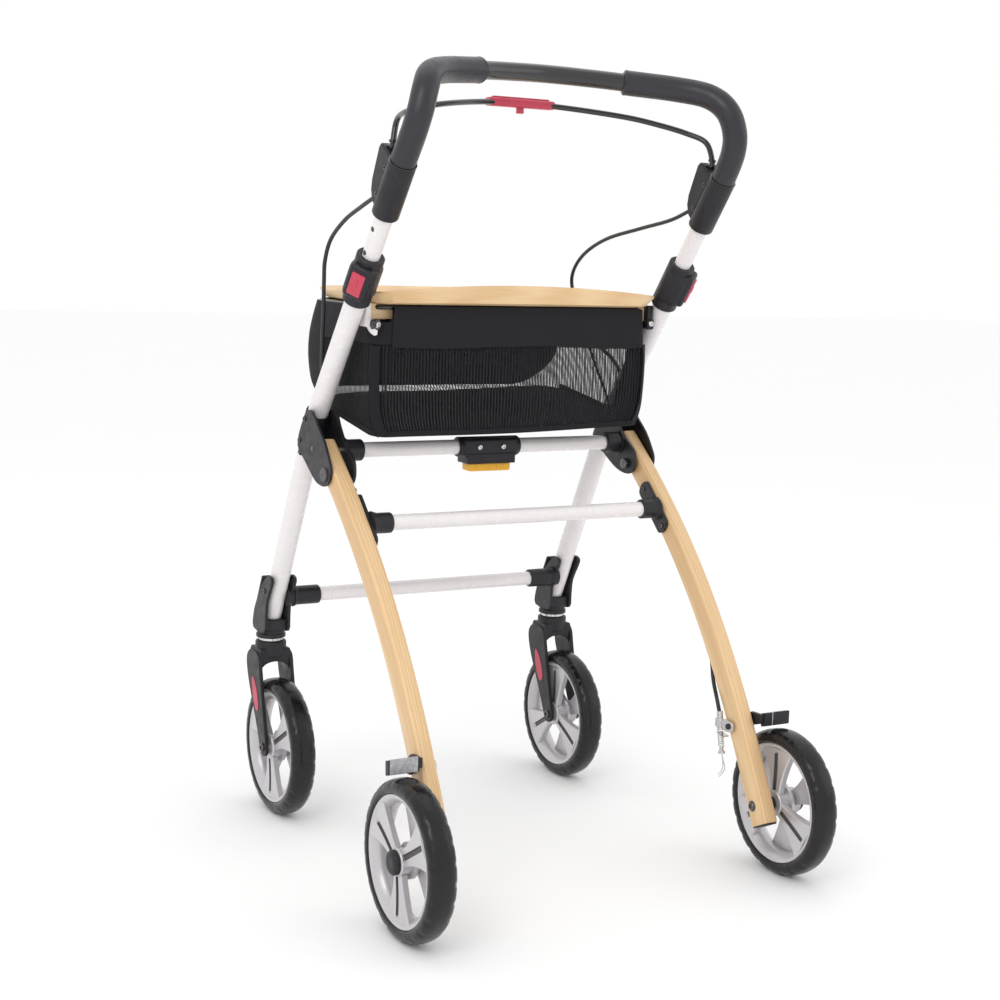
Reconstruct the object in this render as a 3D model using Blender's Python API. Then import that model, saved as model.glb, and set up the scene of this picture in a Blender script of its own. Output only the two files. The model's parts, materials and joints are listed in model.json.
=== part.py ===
"""Rollator walker: white tube frame, wooden rear legs, basket, tray, four wheels.

Metres.  +X is the user's right, +Y the direction of travel, +Z up, floor at z = 0.
Each node is one closed body.  Tools for Booleans live in their own hidden collection.
"""
import math

import bmesh
import bpy
from mathutils import Matrix, Vector

for old in list(bpy.data.objects):
    bpy.data.objects.remove(old)

NAME = "rollator_walker"
SIDES = {"L": -1.0, "R": 1.0}

# Frame tubes
TUBE_X = 0.2179
TUBE_R = 0.0130
TUBE_BORE = 0.0113
BEND_Y, BEND_Z = 0.1373, 0.5297
LOW_SLOPE, TOP_SLOPE = -0.4879, -0.745
BAR_R = 0.0095
UP = Vector((0.0, TOP_SLOPE, 1.0)).normalized()
AHEAD = Vector((0.0, UP.z, -UP.y))
TILT = math.atan2(-UP.y, UP.z)

# Rear legs
LEG_X = 0.2199
LEG_CURVE = (-0.2794, 0.4905, -0.1197, 1.276)
PIVOT = (0.0650, 0.4745)
LOCK = (0.0866, 0.5007)
BRAKE_PIVOT = (-0.1832, 0.1774)

# The whole walker is moved back by this much, so the origin is under its middle
CENTER = Vector((0.0, -0.0094, 0.0))

# Wheels
WHEEL_R = 0.0900
RIM_R = 0.0736
WHEEL_HALF = 0.01625
REAR_X, REAR_Y = 0.2562, -0.2332
FRONT_X, FRONT_Y, SWIVEL_Y = 0.2180, 0.2331, 0.2705

LOW_BAR = (0.2464, 0.2884)
MID_BAR = (-0.0051, 0.4241)
GAP = 0.0004

COLORS = {
    "white_paint": ((0.86, 0.82, 0.82, 1), 0.0, 0.25),
    "black_plastic": ((0.030, 0.028, 0.033, 1), 0.0, 0.45),
    "black_gloss": ((0.016, 0.016, 0.018, 1), 0.0, 0.18),
    "foam": ((0.040, 0.038, 0.044, 1), 0.0, 0.80),
    "oak": ((0.72, 0.50, 0.27, 1), 0.0, 0.45),
    "ply": ((0.78, 0.57, 0.33, 1), 0.0, 0.40),
    "mesh_fabric": ((0.020, 0.020, 0.022, 1), 0.0, 0.85),
    "tyre_rubber": ((0.022, 0.020, 0.022, 1), 0.0, 0.40),
    "silver_rim": ((0.52, 0.51, 0.52, 1), 0.6, 0.35),
    "steel": ((0.60, 0.60, 0.60, 1), 1.0, 0.28),
    "red_plastic": ((0.55, 0.05, 0.09, 1), 0.0, 0.35),
    "yellow_plastic": ((0.83, 0.46, 0.03, 1), 0.0, 0.35),
    "cable_sheath": ((0.018, 0.018, 0.020, 1), 0.0, 0.40),
}

parts = bpy.data.collections.new(NAME)
bpy.context.scene.collection.children.link(parts)
tools = bpy.data.collections.new("tools")
bpy.context.scene.collection.children.link(tools)


def material(name):
    """One Principled material per finish."""
    found = bpy.data.materials.get(name)
    if found:
        return found
    color, metallic, roughness = COLORS[name]
    made = bpy.data.materials.new(name)
    made.use_nodes = True
    shader = made.node_tree.nodes["Principled BSDF"]
    shader.inputs["Base Color"].default_value = color
    shader.inputs["Metallic"].default_value = metallic
    shader.inputs["Roughness"].default_value = roughness
    made.diffuse_color = color
    return made


def finish(name, bm, finish_name, round_piece=True):
    """Turn a bmesh into one named node, or into a tool when it has no finish."""
    bmesh.ops.recalc_face_normals(bm, faces=bm.faces)
    mesh = bpy.data.meshes.new(name)
    bm.to_mesh(mesh)
    bm.free()
    made = bpy.data.objects.new(name, mesh)
    if finish_name:
        parts.objects.link(made)
        mesh.materials.append(material(finish_name))
        if round_piece:
            mesh.shade_smooth()
            mesh.set_sharp_from_angle(angle=math.radians(35))
    else:
        tools.objects.link(made)
        made.hide_render = True
        made.display_type = "WIRE"
    return made


def boolean(node, tool, operation):
    """Cut or fuse a tool with a node, live."""
    step = node.modifiers.new(f"{operation.lower()}_{tool.name}", "BOOLEAN")
    step.operation = operation
    step.solver = "EXACT"
    step.object = tool
    return node


def cut(node, *cutters):
    for tool in cutters:
        boolean(node, tool, "DIFFERENCE")
    return node


def fuse(node, *adders):
    for tool in adders:
        boolean(node, tool, "UNION")
    return node


def loft(rings, closed=False):
    """A closed body through rings of equal size."""
    bm = bmesh.new()
    rows = [[bm.verts.new(p) for p in ring] for ring in rings]
    count = len(rows[0])
    pairs = list(zip(rows, rows[1:]))
    if closed:
        pairs.append((rows[-1], rows[0]))
    for a, b in pairs:
        for i in range(count):
            j = (i + 1) % count
            bm.faces.new((a[i], a[j], b[j], b[i]))
    if not closed:
        bm.faces.new(rows[0])
        bm.faces.new(rows[-1])
    return bm


def frames(path, across):
    """Tangent frames along a path: the first normal stays as near 'across' as it can."""
    found = []
    first = Vector(across)
    for i, p in enumerate(path):
        before = path[max(i - 1, 0)]
        after = path[min(i + 1, len(path) - 1)]
        t = (after - before).normalized()
        first = (first - t * first.dot(t)).normalized()
        found.append((p, first.copy(), t.cross(first)))
    return found


def sweep(path, section, across=(1, 0, 0)):
    """A solid bar with a constant section along a path."""
    path = [Vector(p) for p in path]
    rings = [[p + n * a + b * c for a, c in section] for p, n, b in frames(path, across)]
    return loft(rings)


def pipe(path, outer, inner, segments=16, across=(1, 0, 0)):
    """A hollow tube along a path, open at both ends."""
    path = [Vector(p) for p in path]
    outside, inside = circle(outer, segments), circle(inner, segments)
    rows = []
    for section, line in ((outside, path), (inside, path[::-1])):
        turned = frames(line, across)
        if line is not path:
            turned = frames(path, across)[::-1]
        rows += [[p + n * a + b * c for a, c in section] for p, n, b in turned]
    return loft(rows, closed=True)


def circle(radius, segments=16):
    step = 2 * math.pi / segments
    return [(radius * math.cos(i * step), radius * math.sin(i * step)) for i in range(segments)]


def oblong(width, depth, radius, per_corner=4):
    """A rounded rectangle."""
    points = []
    for k in range(4):
        sx, sy = ((1, 1), (-1, 1), (-1, -1), (1, -1))[k]
        cx, cy = sx * (width / 2 - radius), sy * (depth / 2 - radius)
        for i in range(per_corner):
            a = math.radians(90 * k + 90 * i / (per_corner - 1))
            points.append((cx + radius * math.cos(a), cy + radius * math.sin(a)))
    return points


def smooth_path(points, steps):
    """A Catmull-Rom line through the given points."""
    pts = [Vector(p) for p in points]
    pts = [pts[0] * 2 - pts[1]] + pts + [pts[-1] * 2 - pts[-2]]
    line = []
    for i in range(1, len(pts) - 2):
        a, b, c, d = pts[i - 1:i + 3]
        for k in range(steps):
            t = k / steps
            line.append(0.5 * ((2 * b) + (c - a) * t + (2 * a - 5 * b + 4 * c - d) * t * t
                               + (3 * b - a - 3 * c + d) * t ** 3))
    line.append(pts[-2])
    return line


def slab(outline, low, high, axis="X"):
    """A flat outline extruded along an axis."""
    if axis == "X":
        rings = [[(h, a, b) for a, b in outline] for h in (low, high)]
    elif axis == "Y":
        rings = [[(a, h, b) for a, b in outline] for h in (low, high)]
    else:
        rings = [[(a, b, h) for a, b in outline] for h in (low, high)]
    return loft(rings)


def rod(start, end, radius, segments=16):
    start, end = Vector(start), Vector(end)
    across = (1, 0, 0) if abs((end - start).normalized().x) < 0.9 else (0, 0, 1)
    return sweep([start, end], circle(radius, segments), across)


def block(center, size, turn=0.0, round_off=0.0015):
    """A box with eased edges, turned about X by an angle in radians."""
    bm = bmesh.new()
    bmesh.ops.create_cube(bm, size=1.0)
    bmesh.ops.scale(bm, vec=size, verts=bm.verts)
    if round_off:
        bmesh.ops.bevel(bm, geom=list(bm.edges), offset=round_off, segments=2, affect="EDGES", profile=0.5)
    bmesh.ops.rotate(bm, matrix=Matrix.Rotation(turn, 3, "X"), verts=bm.verts)
    bmesh.ops.translate(bm, vec=center, verts=bm.verts)
    return bm


def spin(profile, center, segments, start=0.0):
    """A ring turned about the X axis through 'center'; profile is (x, radius)."""
    rings = []
    for i in range(segments):
        a = start + 2 * math.pi * i / segments
        rings.append([(center[0] + x, center[1] + r * math.cos(a), center[2] + r * math.sin(a))
                      for x, r in profile])
    return loft(rings, closed=True)


def turned(profile, center, segments=16, axis="X"):
    """A solid turned about an axis through 'center'; profile is (along, radius)."""
    rings = []
    for along, r in profile:
        ring = []
        for i in range(segments):
            a = 2 * math.pi * i / segments
            u, v = r * math.cos(a), r * math.sin(a)
            offset = (along, u, v) if axis == "X" else (u, v, along)
            ring.append(tuple(c + o for c, o in zip(center, offset)))
        rings.append(ring)
    return loft(rings)


def tube_point(z, side=1.0, offset=0.0):
    """The frame tube's centre line at a height; offset moves it forward of the line."""
    slope = LOW_SLOPE if z < BEND_Z else TOP_SLOPE
    return Vector((side * TUBE_X, BEND_Y + slope * (z - BEND_Z) + offset, z))


def tube_bend(side, half=0.030, steps=5):
    """The rounded bend between the two straight runs."""
    a, b = tube_point(BEND_Z - half, side), tube_point(BEND_Z + half, side)
    mid = Vector((side * TUBE_X, BEND_Y, BEND_Z))
    line = []
    for i in range(steps + 1):
        t = i / steps
        line.append(a * (1 - t) ** 2 + mid * 2 * t * (1 - t) + b * t * t)
    return line


def leg_point(z, side=1.0, forward=0.0):
    c0, c1, c2, c3 = LEG_CURVE
    y = c0 + c1 * z + c2 * z * z + c3 * z ** 3
    slope = c1 + 2 * c2 * z + 3 * c3 * z * z
    normal = Vector((0, 1, -slope)).normalized()
    return Vector((side * LEG_X, y, z)) + normal * forward


def beside(z, forward, x):
    """A point square to the upper tube's centre line, 'forward' metres in front of it."""
    p = tube_point(z) + AHEAD * forward
    return Vector((x, p.y, p.z))


def quarter_point(z, side, out):
    """A point 'out' metres from the upper tube's centre line, outward and toward the user."""
    along = Matrix.Rotation(TILT, 3, "X") @ Vector((side, -1.0, 0)).normalized()
    return tube_point(z, side) + along * out


def facing(z, side, out, size, round_off):
    """A box at quarter_point, its first size measured along that direction and its last up the tube."""
    bm = block((0, 0, 0), size, 0, round_off)
    turn = Matrix.Rotation(TILT, 3, "X") @ Matrix.Rotation(-side * math.pi / 4, 3, "Z")
    bmesh.ops.rotate(bm, matrix=turn, verts=bm.verts)
    bmesh.ops.translate(bm, vec=quarter_point(z, side, out), verts=bm.verts)
    return bm


def rounded(half_x, low_y, high_y, radius, z, per_corner=5):
    """A rounded rectangle seen from above."""
    middle = (low_y + high_y) / 2
    shape = oblong(2 * half_x, high_y - low_y, radius, per_corner)
    return [(x, middle + y, z) for x, y in shape]


def tool(name, bm):
    return finish("tool_" + name, bm, None)


# ---------------------------------------------------------------- frame tubes
for tag, s in SIDES.items():
    line = [tube_point(0.256, s)] + tube_bend(s) + [tube_point(0.690, s)]
    finish(f"front_tube_{tag}", pipe(line, TUBE_R, TUBE_BORE), "white_paint")

    line = [tube_point(0.590, s), tube_point(0.812, s)]
    inner = finish(f"inner_tube_{tag}", pipe(line, 0.0107, 0.0090), "white_paint")
    for k in range(2):
        hole = tube_point(0.7440 + 0.0268 * k, s)
        cut(inner, tool(f"height_hole_{tag}{k}", rod(hole, hole + Vector((s * 0.02, 0, 0)), 0.0032, 10)))

finish("upper_crossbar", pipe([(-0.1968, *LOCK), (0.1968, *LOCK)], BAR_R, 0.0068, 16, (0, 0, 1)),
       "white_paint")
finish("lower_crossbar", rod((-0.196, *LOW_BAR), (0.196, *LOW_BAR), BAR_R), "white_paint")
finish("mid_crossbar", rod((-0.1985, *MID_BAR), (0.1985, *MID_BAR), BAR_R), "white_paint")

# ------------------------------------------------------------- hinge brackets
OUTER_PLATE = ((0.1190, 0.5480), (0.1060, 0.5465), (0.0930, 0.5340), (0.0700, 0.5150), (0.0530, 0.4930),
               (0.0480, 0.4820), (0.0510, 0.4690), (0.0620, 0.4610), (0.0750, 0.4595), (0.0950, 0.4640),
               (0.1240, 0.4820), (0.1480, 0.4975), (0.1500, 0.5060), (0.1450, 0.5190), (0.1290, 0.5420))
INNER_PLATE = ((0.1190, 0.5480), (0.1040, 0.5465), (0.0930, 0.5300), (0.0740, 0.5090), (0.0520, 0.4950),
               (0.0465, 0.4840), (0.0470, 0.4720), (0.0530, 0.4640), (0.0660, 0.4605), (0.0900, 0.4650),
               (0.1180, 0.4790), (0.1430, 0.4950), (0.1480, 0.5040), (0.1420, 0.5190), (0.1270, 0.5420))
for tag, s in SIDES.items():
    node = finish(f"hinge_bracket_{tag}", slab(OUTER_PLATE, s * 0.2314, s * 0.2346), "black_plastic", False)
    fuse(node,
         tool(f"inner_plate_{tag}", slab(INNER_PLATE, s * 0.2006, s * 0.2042)),
         tool(f"hinge_web_{tag}", block((s * 0.2176, 0.1370, 0.5130), (0.0320, 0.0240, 0.0560),
                                        math.radians(29), 0)),
         tool(f"bar_socket_{tag}", rod((s * 0.1770, *LOCK), (s * 0.2020, *LOCK), 0.0135)))
    line = [tube_point(0.44, s)] + tube_bend(s) + [tube_point(0.60, s)]
    cut(node,
        tool(f"tube_bore_{tag}", sweep(line, circle(TUBE_R + GAP))),
        tool(f"bar_seat_{tag}", rod((s * 0.170, *LOCK), (s * 0.1972, *LOCK), BAR_R + GAP)),
        tool(f"lock_bore_{tag}", rod((s * 0.190, *LOCK), (s * 0.225, *LOCK), 0.0046)),
        tool(f"fold_bore_{tag}", rod((s * 0.190, *PIVOT), (s * 0.245, *PIVOT), 0.0045)))

    shaft = ((-0.0350, 0.0062), (-0.0312, 0.0062), (-0.0312, 0.0040), (0.0035, 0.0040),
             (0.0035, 0.0068), (0.0060, 0.0062), (0.0072, 0.0040))
    finish(f"fold_bolt_{tag}", turned([(s * x, r) for x, r in shaft], (s * 0.2316, *PIVOT), 12), "steel")
    finish(f"lock_pin_{tag}", rod((s * 0.1500, *LOCK), (s * 0.2080, *LOCK), 0.0040, 12), "steel")

# ---------------------------------------------------------------- rear legs
for tag, s in SIDES.items():
    heights = [0.0690, 0.1000, 0.1500, 0.2000, 0.2500, 0.3000, 0.3450, 0.3850, 0.4200, 0.4500, 0.4780, 0.5050]
    leg = finish(f"rear_leg_{tag}", sweep([leg_point(z, s) for z in heights], oblong(0.022, 0.030, 0.007)),
                 "oak")
    cut(leg,
        tool(f"leg_pivot_bore_{tag}", rod((s * 0.200, *PIVOT), (s * 0.240, *PIVOT), 0.0045)),
        tool(f"leg_axle_bore_{tag}", rod((s * 0.200, REAR_Y, WHEEL_R), (s * 0.240, REAR_Y, WHEEL_R), 0.0045)),
        tool(f"leg_brake_bore_{tag}", rod((s * 0.200, *BRAKE_PIVOT), (s * 0.240, *BRAKE_PIVOT), 0.0043)))

    low, high = leg_point(0.4030), leg_point(0.4450)
    along = (high - low).normalized()
    wide = Vector((0, along.z, -along.y)) * 0.0130
    ends = [low + wide * 0.5 - along * 0.006, low + wide, high + wide, high + wide * 0.5 + along * 0.006,
            high - wide * 0.5 + along * 0.006, high - wide, low - wide, low - wide * 0.5 - along * 0.006]
    plate = slab([(p.y, p.z) for p in ends], s * 0.2035, s * 0.2084)
    node = finish(f"mid_bracket_{tag}", plate, "black_plastic", False)
    fuse(node, tool(f"mid_socket_{tag}", rod((s * 0.1785, *MID_BAR), (s * 0.2045, *MID_BAR), 0.0125)))
    cut(node, tool(f"mid_seat_{tag}", rod((s * 0.170, *MID_BAR), (s * 0.1990, *MID_BAR), BAR_R + GAP)))

# --------------------------------------------------------- casters and wheels
TYRE = [(-0.0146, 0.0741), (-0.01625, 0.0780), (-0.0150, 0.0845), (-0.0105, 0.0885), (-0.0040, WHEEL_R)]
TYRE += [(-x, r) for x, r in reversed(TYRE)]
RING = [(-0.0140, 0.0660), (-0.0140, RIM_R), (0.0140, RIM_R), (0.0140, 0.0660), (0.0040, 0.0615),
        (-0.0040, 0.0615)]


def wheel(kind, tag, center, bore, side):
    """A tyre and a six-spoke rim round one axle."""
    finish(f"{kind}_tyre_{tag}", spin(TYRE, center, 36), "tyre_rubber")
    rim = finish(f"{kind}_rim_{tag}", spin(RING, center, 36), "silver_rim")
    spokes = bmesh.new()
    for k in range(6):
        one = block((side * (0.0045 if k % 2 else -0.0045), 0, 0.0395), (0.0110, 0.0125, 0.0500), 0, 0)
        bmesh.ops.rotate(one, matrix=Matrix.Rotation(math.radians(60 * k), 3, "X"), verts=one.verts)
        bmesh.ops.translate(one, vec=center, verts=one.verts)
        held = bpy.data.meshes.new("spoke")
        one.to_mesh(held)
        one.free()
        spokes.from_mesh(held)
    fuse(rim,
         tool(f"{kind}_hub_{tag}", turned(((-0.0165, 0.0160), (0.0165, 0.0160)), center, 20)),
         tool(f"{kind}_spokes_{tag}", spokes))
    x, y, z = center
    cut(rim, tool(f"{kind}_bore_{tag}", rod((x - 0.03, y, z), (x + 0.03, y, z), bore)))


for tag, s in SIDES.items():
    wheel("rear", tag, (s * REAR_X, REAR_Y, WHEEL_R), 0.0045, s)
    wheel("front", tag, (s * FRONT_X, FRONT_Y, WHEEL_R), 0.0045, s)
    axle = ((-0.0520, 0.0060), (-0.0478, 0.0065), (-0.0478, 0.0040), (-0.0248, 0.0040), (-0.0248, 0.0080),
            (-0.0172, 0.0080), (-0.0172, 0.0040), (0.0172, 0.0040), (0.0172, 0.0140), (0.0205, 0.0135),
            (0.0230, 0.0105), (0.0240, 0.0060))
    finish(f"rear_axle_{tag}", turned([(s * x, r) for x, r in axle], (s * REAR_X, REAR_Y, WHEEL_R), 14),
           "black_plastic")

    blade = [(0.2500, 0.2140), (0.2890, 0.2140), (0.2950, 0.1960), (0.2860, 0.1680), (0.2600, 0.1200),
             (0.2450, 0.0900), (0.2400, 0.0800), (0.2330, 0.0775), (0.2250, 0.0810), (0.2215, 0.0890),
             (0.2370, 0.1450), (0.2480, 0.1900)]
    fork = finish(f"caster_fork_{tag}", slab(blade, s * (FRONT_X + 0.0195), s * (FRONT_X + 0.0245)),
                  "black_plastic", False)
    column = (s * FRONT_X, SWIVEL_Y, 0)
    crown = ((0.2000, 0.0200), (0.2200, 0.0200), (0.2240, 0.0198), (0.2262, 0.0180), (0.2262, 0.0050),
             (0.2440, 0.0050))
    bolt = ((-0.0275, 0.0060), (-0.0245, 0.0068), (-0.0240, 0.0040), (0.0240, 0.0040), (0.0245, 0.0068),
            (0.0275, 0.0060))
    fuse(fork,
         tool(f"inner_blade_{tag}", slab(blade, s * (FRONT_X - 0.0245), s * (FRONT_X - 0.0195))),
         tool(f"fork_bridge_{tag}", block((s * FRONT_X, 0.2700, 0.2065), (0.0480, 0.0360, 0.0170), 0, 0.003)),
         tool(f"fork_crown_{tag}", turned(crown, column, 20, "Z")),
         tool(f"fork_bolt_{tag}", turned(bolt, (s * FRONT_X, FRONT_Y, WHEEL_R))))

    cup = ((0.2300, 0.0190), (0.2360, 0.0190), (0.2400, 0.0165), (0.2470, 0.0165))
    cheeks = [(0.2270, 0.3110), (0.2330, 0.3180), (0.2420, 0.3180), (0.2580, 0.3100), (0.2890, 0.2620),
              (0.2890, 0.2400), (0.2520, 0.2400), (0.2460, 0.2620)]
    bracket = finish(f"caster_bracket_{tag}", turned(cup, column, 20, "Z"), "black_plastic")
    fuse(bracket,
         tool(f"cheeks_{tag}", slab(cheeks, s * (TUBE_X - 0.0180), s * (TUBE_X + 0.0180))),
         tool(f"low_socket_{tag}", rod((s * 0.1616, *LOW_BAR), (s * 0.2080, *LOW_BAR), 0.0125)))
    behind = tube_point(0.2950, s) - Vector((0, 0.8987, 0.4385)) * 0.0250
    cut(bracket,
        tool(f"shoe_bore_{tag}", rod(tube_point(0.2555, s), tube_point(0.3500, s), TUBE_R + GAP)),
        tool(f"rear_gap_{tag}", block(behind, (0.0250, 0.0500, 0.0720), math.radians(26), 0)),
        tool(f"low_seat_{tag}", rod((s * 0.150, *LOW_BAR), (s * 0.1965, *LOW_BAR), BAR_R + GAP)),
        tool(f"stem_bore_{tag}", rod((s * FRONT_X, SWIVEL_Y, 0.220), (s * FRONT_X, SWIVEL_Y, 0.2455), 0.0056)))

# ------------------------------------------------------------- height clamps
for tag, s in SIDES.items():
    clamp = finish(f"height_clamp_{tag}", rod(tube_point(0.6870, s), tube_point(0.7400, s), 0.0170, 20),
                   "black_plastic")
    fuse(clamp, tool(f"button_house_{tag}", facing(0.7160, s, 0.0130, (0.0212, 0.0280, 0.0440), 0.003)))
    cut(clamp,
        tool(f"clamp_low_{tag}", rod(tube_point(0.6700, s), tube_point(0.6904, s), TUBE_R + GAP)),
        tool(f"clamp_high_{tag}", rod(tube_point(0.6700, s), tube_point(0.7600, s), 0.0114)),
        tool(f"button_pocket_{tag}", facing(0.7160, s, 0.0214, (0.0100, 0.0176, 0.0312), 0)))
    finish(f"height_button_{tag}", facing(0.7160, s, 0.0227, (0.0052, 0.0168, 0.0304), 0.001),
           "red_plastic", False)

# ------------------------------------------------------ fold release in the bar
BAR_Y, BAR_Z = LOCK
house = finish("release_housing", block((0, BAR_Y, 0.4960), (0.0780, 0.0300, 0.0325), 0, 0.003), "black_plastic")
cut(house,
    tool("house_bore", rod((-0.05, *LOCK), (0.05, *LOCK), BAR_R + GAP)),
    tool("house_pocket", block((0, BAR_Y, 0.4800), (0.0612, 0.0232, 0.0140), 0, 0)))
finish("release_handle", block((0, BAR_Y, 0.4755), (0.0600, 0.0220, 0.0120), 0, 0.002), "yellow_plastic")

# ---------------------------------------------------------------- the handle
HALF = [tube_point(0.816), tube_point(0.832), tube_point(0.846), (0.2160, -0.1180, 0.8760),
        (0.2115, -0.1250, 0.9010), (0.2030, -0.1190, 0.9260), (0.1880, -0.1010, 0.9425),
        (0.1580, -0.0770, 0.9500), (0.1150, -0.0545, 0.9545), (0.0700, -0.0380, 0.9580),
        (0.0000, -0.0270, 0.9603)]
LOOP = HALF + [(-x, y, z) for x, y, z in reversed(HALF[:-1])]
path = smooth_path(LOOP, 2)
finish("handle_bar", sweep(path, circle(0.0108, 12)), "black_gloss")
for tag, s in SIDES.items():
    held = [p for p in path if p.x * s > 0.085 and p.z > 0.8455]
    finish(f"grip_{tag}", pipe(held, 0.0150, 0.0116, 12), "foam")

    sleeve = finish(f"handle_sleeve_{tag}", rod(tube_point(0.787, s), tube_point(0.8420, s), 0.0160, 20),
                    "black_plastic")
    cut(sleeve, tool(f"sleeve_bore_{tag}", rod(tube_point(0.77, s), tube_point(0.86, s), 0.0115)))

    box = finish(f"brake_box_{tag}", block(beside(0.8160, 0.0285, s * 0.2184), (0.0200, 0.0240, 0.0560), TILT,
                                           0.003), "black_plastic")
    cut(box, tool(f"bar_slot_{tag}", block(beside(0.8320, 0.0280, s * 0.2184), (0.0092, 0.0165, 0.0280),
                                           TILT, 0)))

BRAKE_HINGE = (-0.0619, 0.8440)
HALF = [(0.2184, *BRAKE_HINGE), (0.2184, -0.0703, 0.8552), (0.2184, -0.0720, 0.8680),
        (0.2120, -0.0660, 0.8900), (0.1950, -0.0470, 0.9010), (0.1650, -0.0300, 0.9100),
        (0.1250, -0.0130, 0.9180), (0.0600, 0.0180, 0.9260), (0.0000, 0.0308, 0.9288)]
LOOP = HALF + [(-x, y, z) for x, y, z in reversed(HALF[:-1])]
path = smooth_path(LOOP, 2)
finish("brake_bar", sweep(path, circle(0.0035, 8)), "black_gloss")
clip = finish("brake_bar_clip", block((0, 0.0290, 0.9282), (0.0940, 0.0170, 0.0120), 0, 0.002), "red_plastic")
fuse(clip, tool("clip_peg", block((0, 0.0290, 0.9200), (0.0080, 0.0080, 0.0080), 0, 0)))
cut(clip, tool("clip_bore", sweep(path, circle(0.0041, 8))))

# ------------------------------------------------------------- parking brake
SHOE = [(-0.2137, 0.1819), (-0.2060, 0.1797), (-0.2050, 0.1965), (-0.2137, 0.1985)]
ARM = [(-0.1770, 0.1710), (-0.1770, 0.1840), (-0.1900, 0.1955), (-0.2115, 0.1965), (-0.2115, 0.1850),
       (-0.1930, 0.1790), (-0.1890, 0.1710)]
LEVER = [(-0.1890, 0.1710), (-0.1580, 0.1710), (-0.1560, 0.1770), (-0.1580, 0.1830), (-0.1890, 0.1840)]
for tag, s in SIDES.items():
    arm = finish(f"brake_arm_{tag}", slab(ARM, s * 0.2316, s * 0.2370), "black_plastic", False)
    fuse(arm,
         tool(f"brake_shoe_{tag}", slab(SHOE, s * 0.2365, s * 0.2745)),
         tool(f"brake_shaft_{tag}", rod((s * 0.2020, *BRAKE_PIVOT), (s * 0.2330, *BRAKE_PIVOT), 0.0038)),
         tool(f"brake_lever_{tag}", slab(LEVER, s * 0.2030, s * 0.2078)))

# ------------------------------------------------------------------- cables
UPPER = {
    "L": [(-0.2184, -0.0330, 0.8085), (-0.2190, 0.0100, 0.7950), (-0.2200, 0.0515, 0.7800),
          (-0.2205, 0.0900, 0.7575), (-0.2210, 0.1060, 0.7314), (-0.2210, 0.1080, 0.7074),
          (-0.2210, 0.1080, 0.6800), (-0.2200, 0.1120, 0.6400),
          (-0.2185, 0.1160, 0.6100)],
    "R": [(0.2184, -0.0330, 0.8085), (0.2165, 0.0100, 0.7950), (0.2120, 0.0750, 0.7830),
          (0.2070, 0.1450, 0.7690), (0.2065, 0.2000, 0.7480), (0.2085, 0.2320, 0.7220),
          (0.2130, 0.2380, 0.6950), (0.2175, 0.2150, 0.6550), (0.2190, 0.1720, 0.6230),
          (0.2185, 0.1360, 0.6070)],
}
for tag, s in SIDES.items():
    line = UPPER[tag] + [beside(0.578, 0.0190, s * TUBE_X), beside(0.562, 0.0185, s * TUBE_X)]
    finish(f"brake_cable_{tag}", sweep(smooth_path(line, 3), circle(0.0025, 6)), "cable_sheath")
    line = [leg_point(z, s, 0.0185) for z in (0.4600, 0.4200, 0.3700, 0.3200, 0.2700)]
    line += [(s * 0.2120, -0.1370, 0.2250), (s * 0.2050, -0.1560, 0.2060), (s * 0.2050, -0.1630, 0.1900)]
    finish(f"leg_cable_{tag}", sweep(smooth_path(line, 3), circle(0.0025, 6)), "cable_sheath")

# --------------------------------------------------------- basket and its frame
def basket_ring(half_x, low_y, high_y, radius, near_z, far_z):
    """A rounded rectangle whose far side lies higher than its near side."""
    ring = rounded(half_x, low_y, high_y, radius, 0)
    return [(x, y, near_z + (far_z - near_z) * (y - low_y) / (high_y - low_y)) for x, y, _ in ring]


rim = rounded(0.1880, 0.0225, 0.2550, 0.0300, 0.6794)
wire = [Vector(p) for p in rim + rim[:1]]
rings = [[p + n * a + b * c for a, c in circle(0.0030, 8)] for p, n, b in frames(wire, (0, 0, 1))][:-1]
finish("basket_frame", loft(rings, closed=True), "black_gloss")
finish("basket", loft([
    basket_ring(0.1790, 0.0330, 0.2400, 0.0200, 0.5305, 0.5640),
    basket_ring(0.1900, 0.0225, 0.2530, 0.0280, 0.5450, 0.5760),
    basket_ring(0.1915, 0.0205, 0.2560, 0.0300, 0.6758, 0.6758),
    basket_ring(0.1945, 0.0175, 0.2590, 0.0330, 0.6758, 0.6758),
    basket_ring(0.1945, 0.0185, 0.2570, 0.0310, 0.5400, 0.5720),
    basket_ring(0.1840, 0.0290, 0.2440, 0.0240, 0.5262, 0.5598),
]), "mesh_fabric")
for tag, s in SIDES.items():
    finish(f"basket_hook_{tag}", block((s * 0.1994, 0.0320, 0.6700), (0.0086, 0.0220, 0.0300), 0, 0.001),
           "white_paint" if s < 0 else "black_plastic", False)

# ---------------------------------------------------------------------- tray
EDGE = [(0.1700, -0.0020), (0.1880, 0.0015), (0.1970, 0.0130), (0.2000, 0.0500), (0.1980, 0.1000),
        (0.1940, 0.1500), (0.1850, 0.2000), (0.1640, 0.2500), (0.1290, 0.2930), (0.0680, 0.3290),
        (0.0000, 0.3420)]
EDGE += [(-x, y) for x, y in reversed(EDGE[:-1])]
EDGE += [(x, -0.0020) for x in (-0.1300, -0.0850, -0.0400, 0.0400, 0.0850, 0.1300)]


def rim_top(x, y):
    """The rim stands highest at the middle of the user's edge and falls towards the front."""
    back = 0.6985 + 0.0095 * (1 - (x / 0.19) ** 2)
    front = 0.6985 - 0.0035 * max(0.0, y) / 0.34
    return back if y < 0 else front


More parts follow.
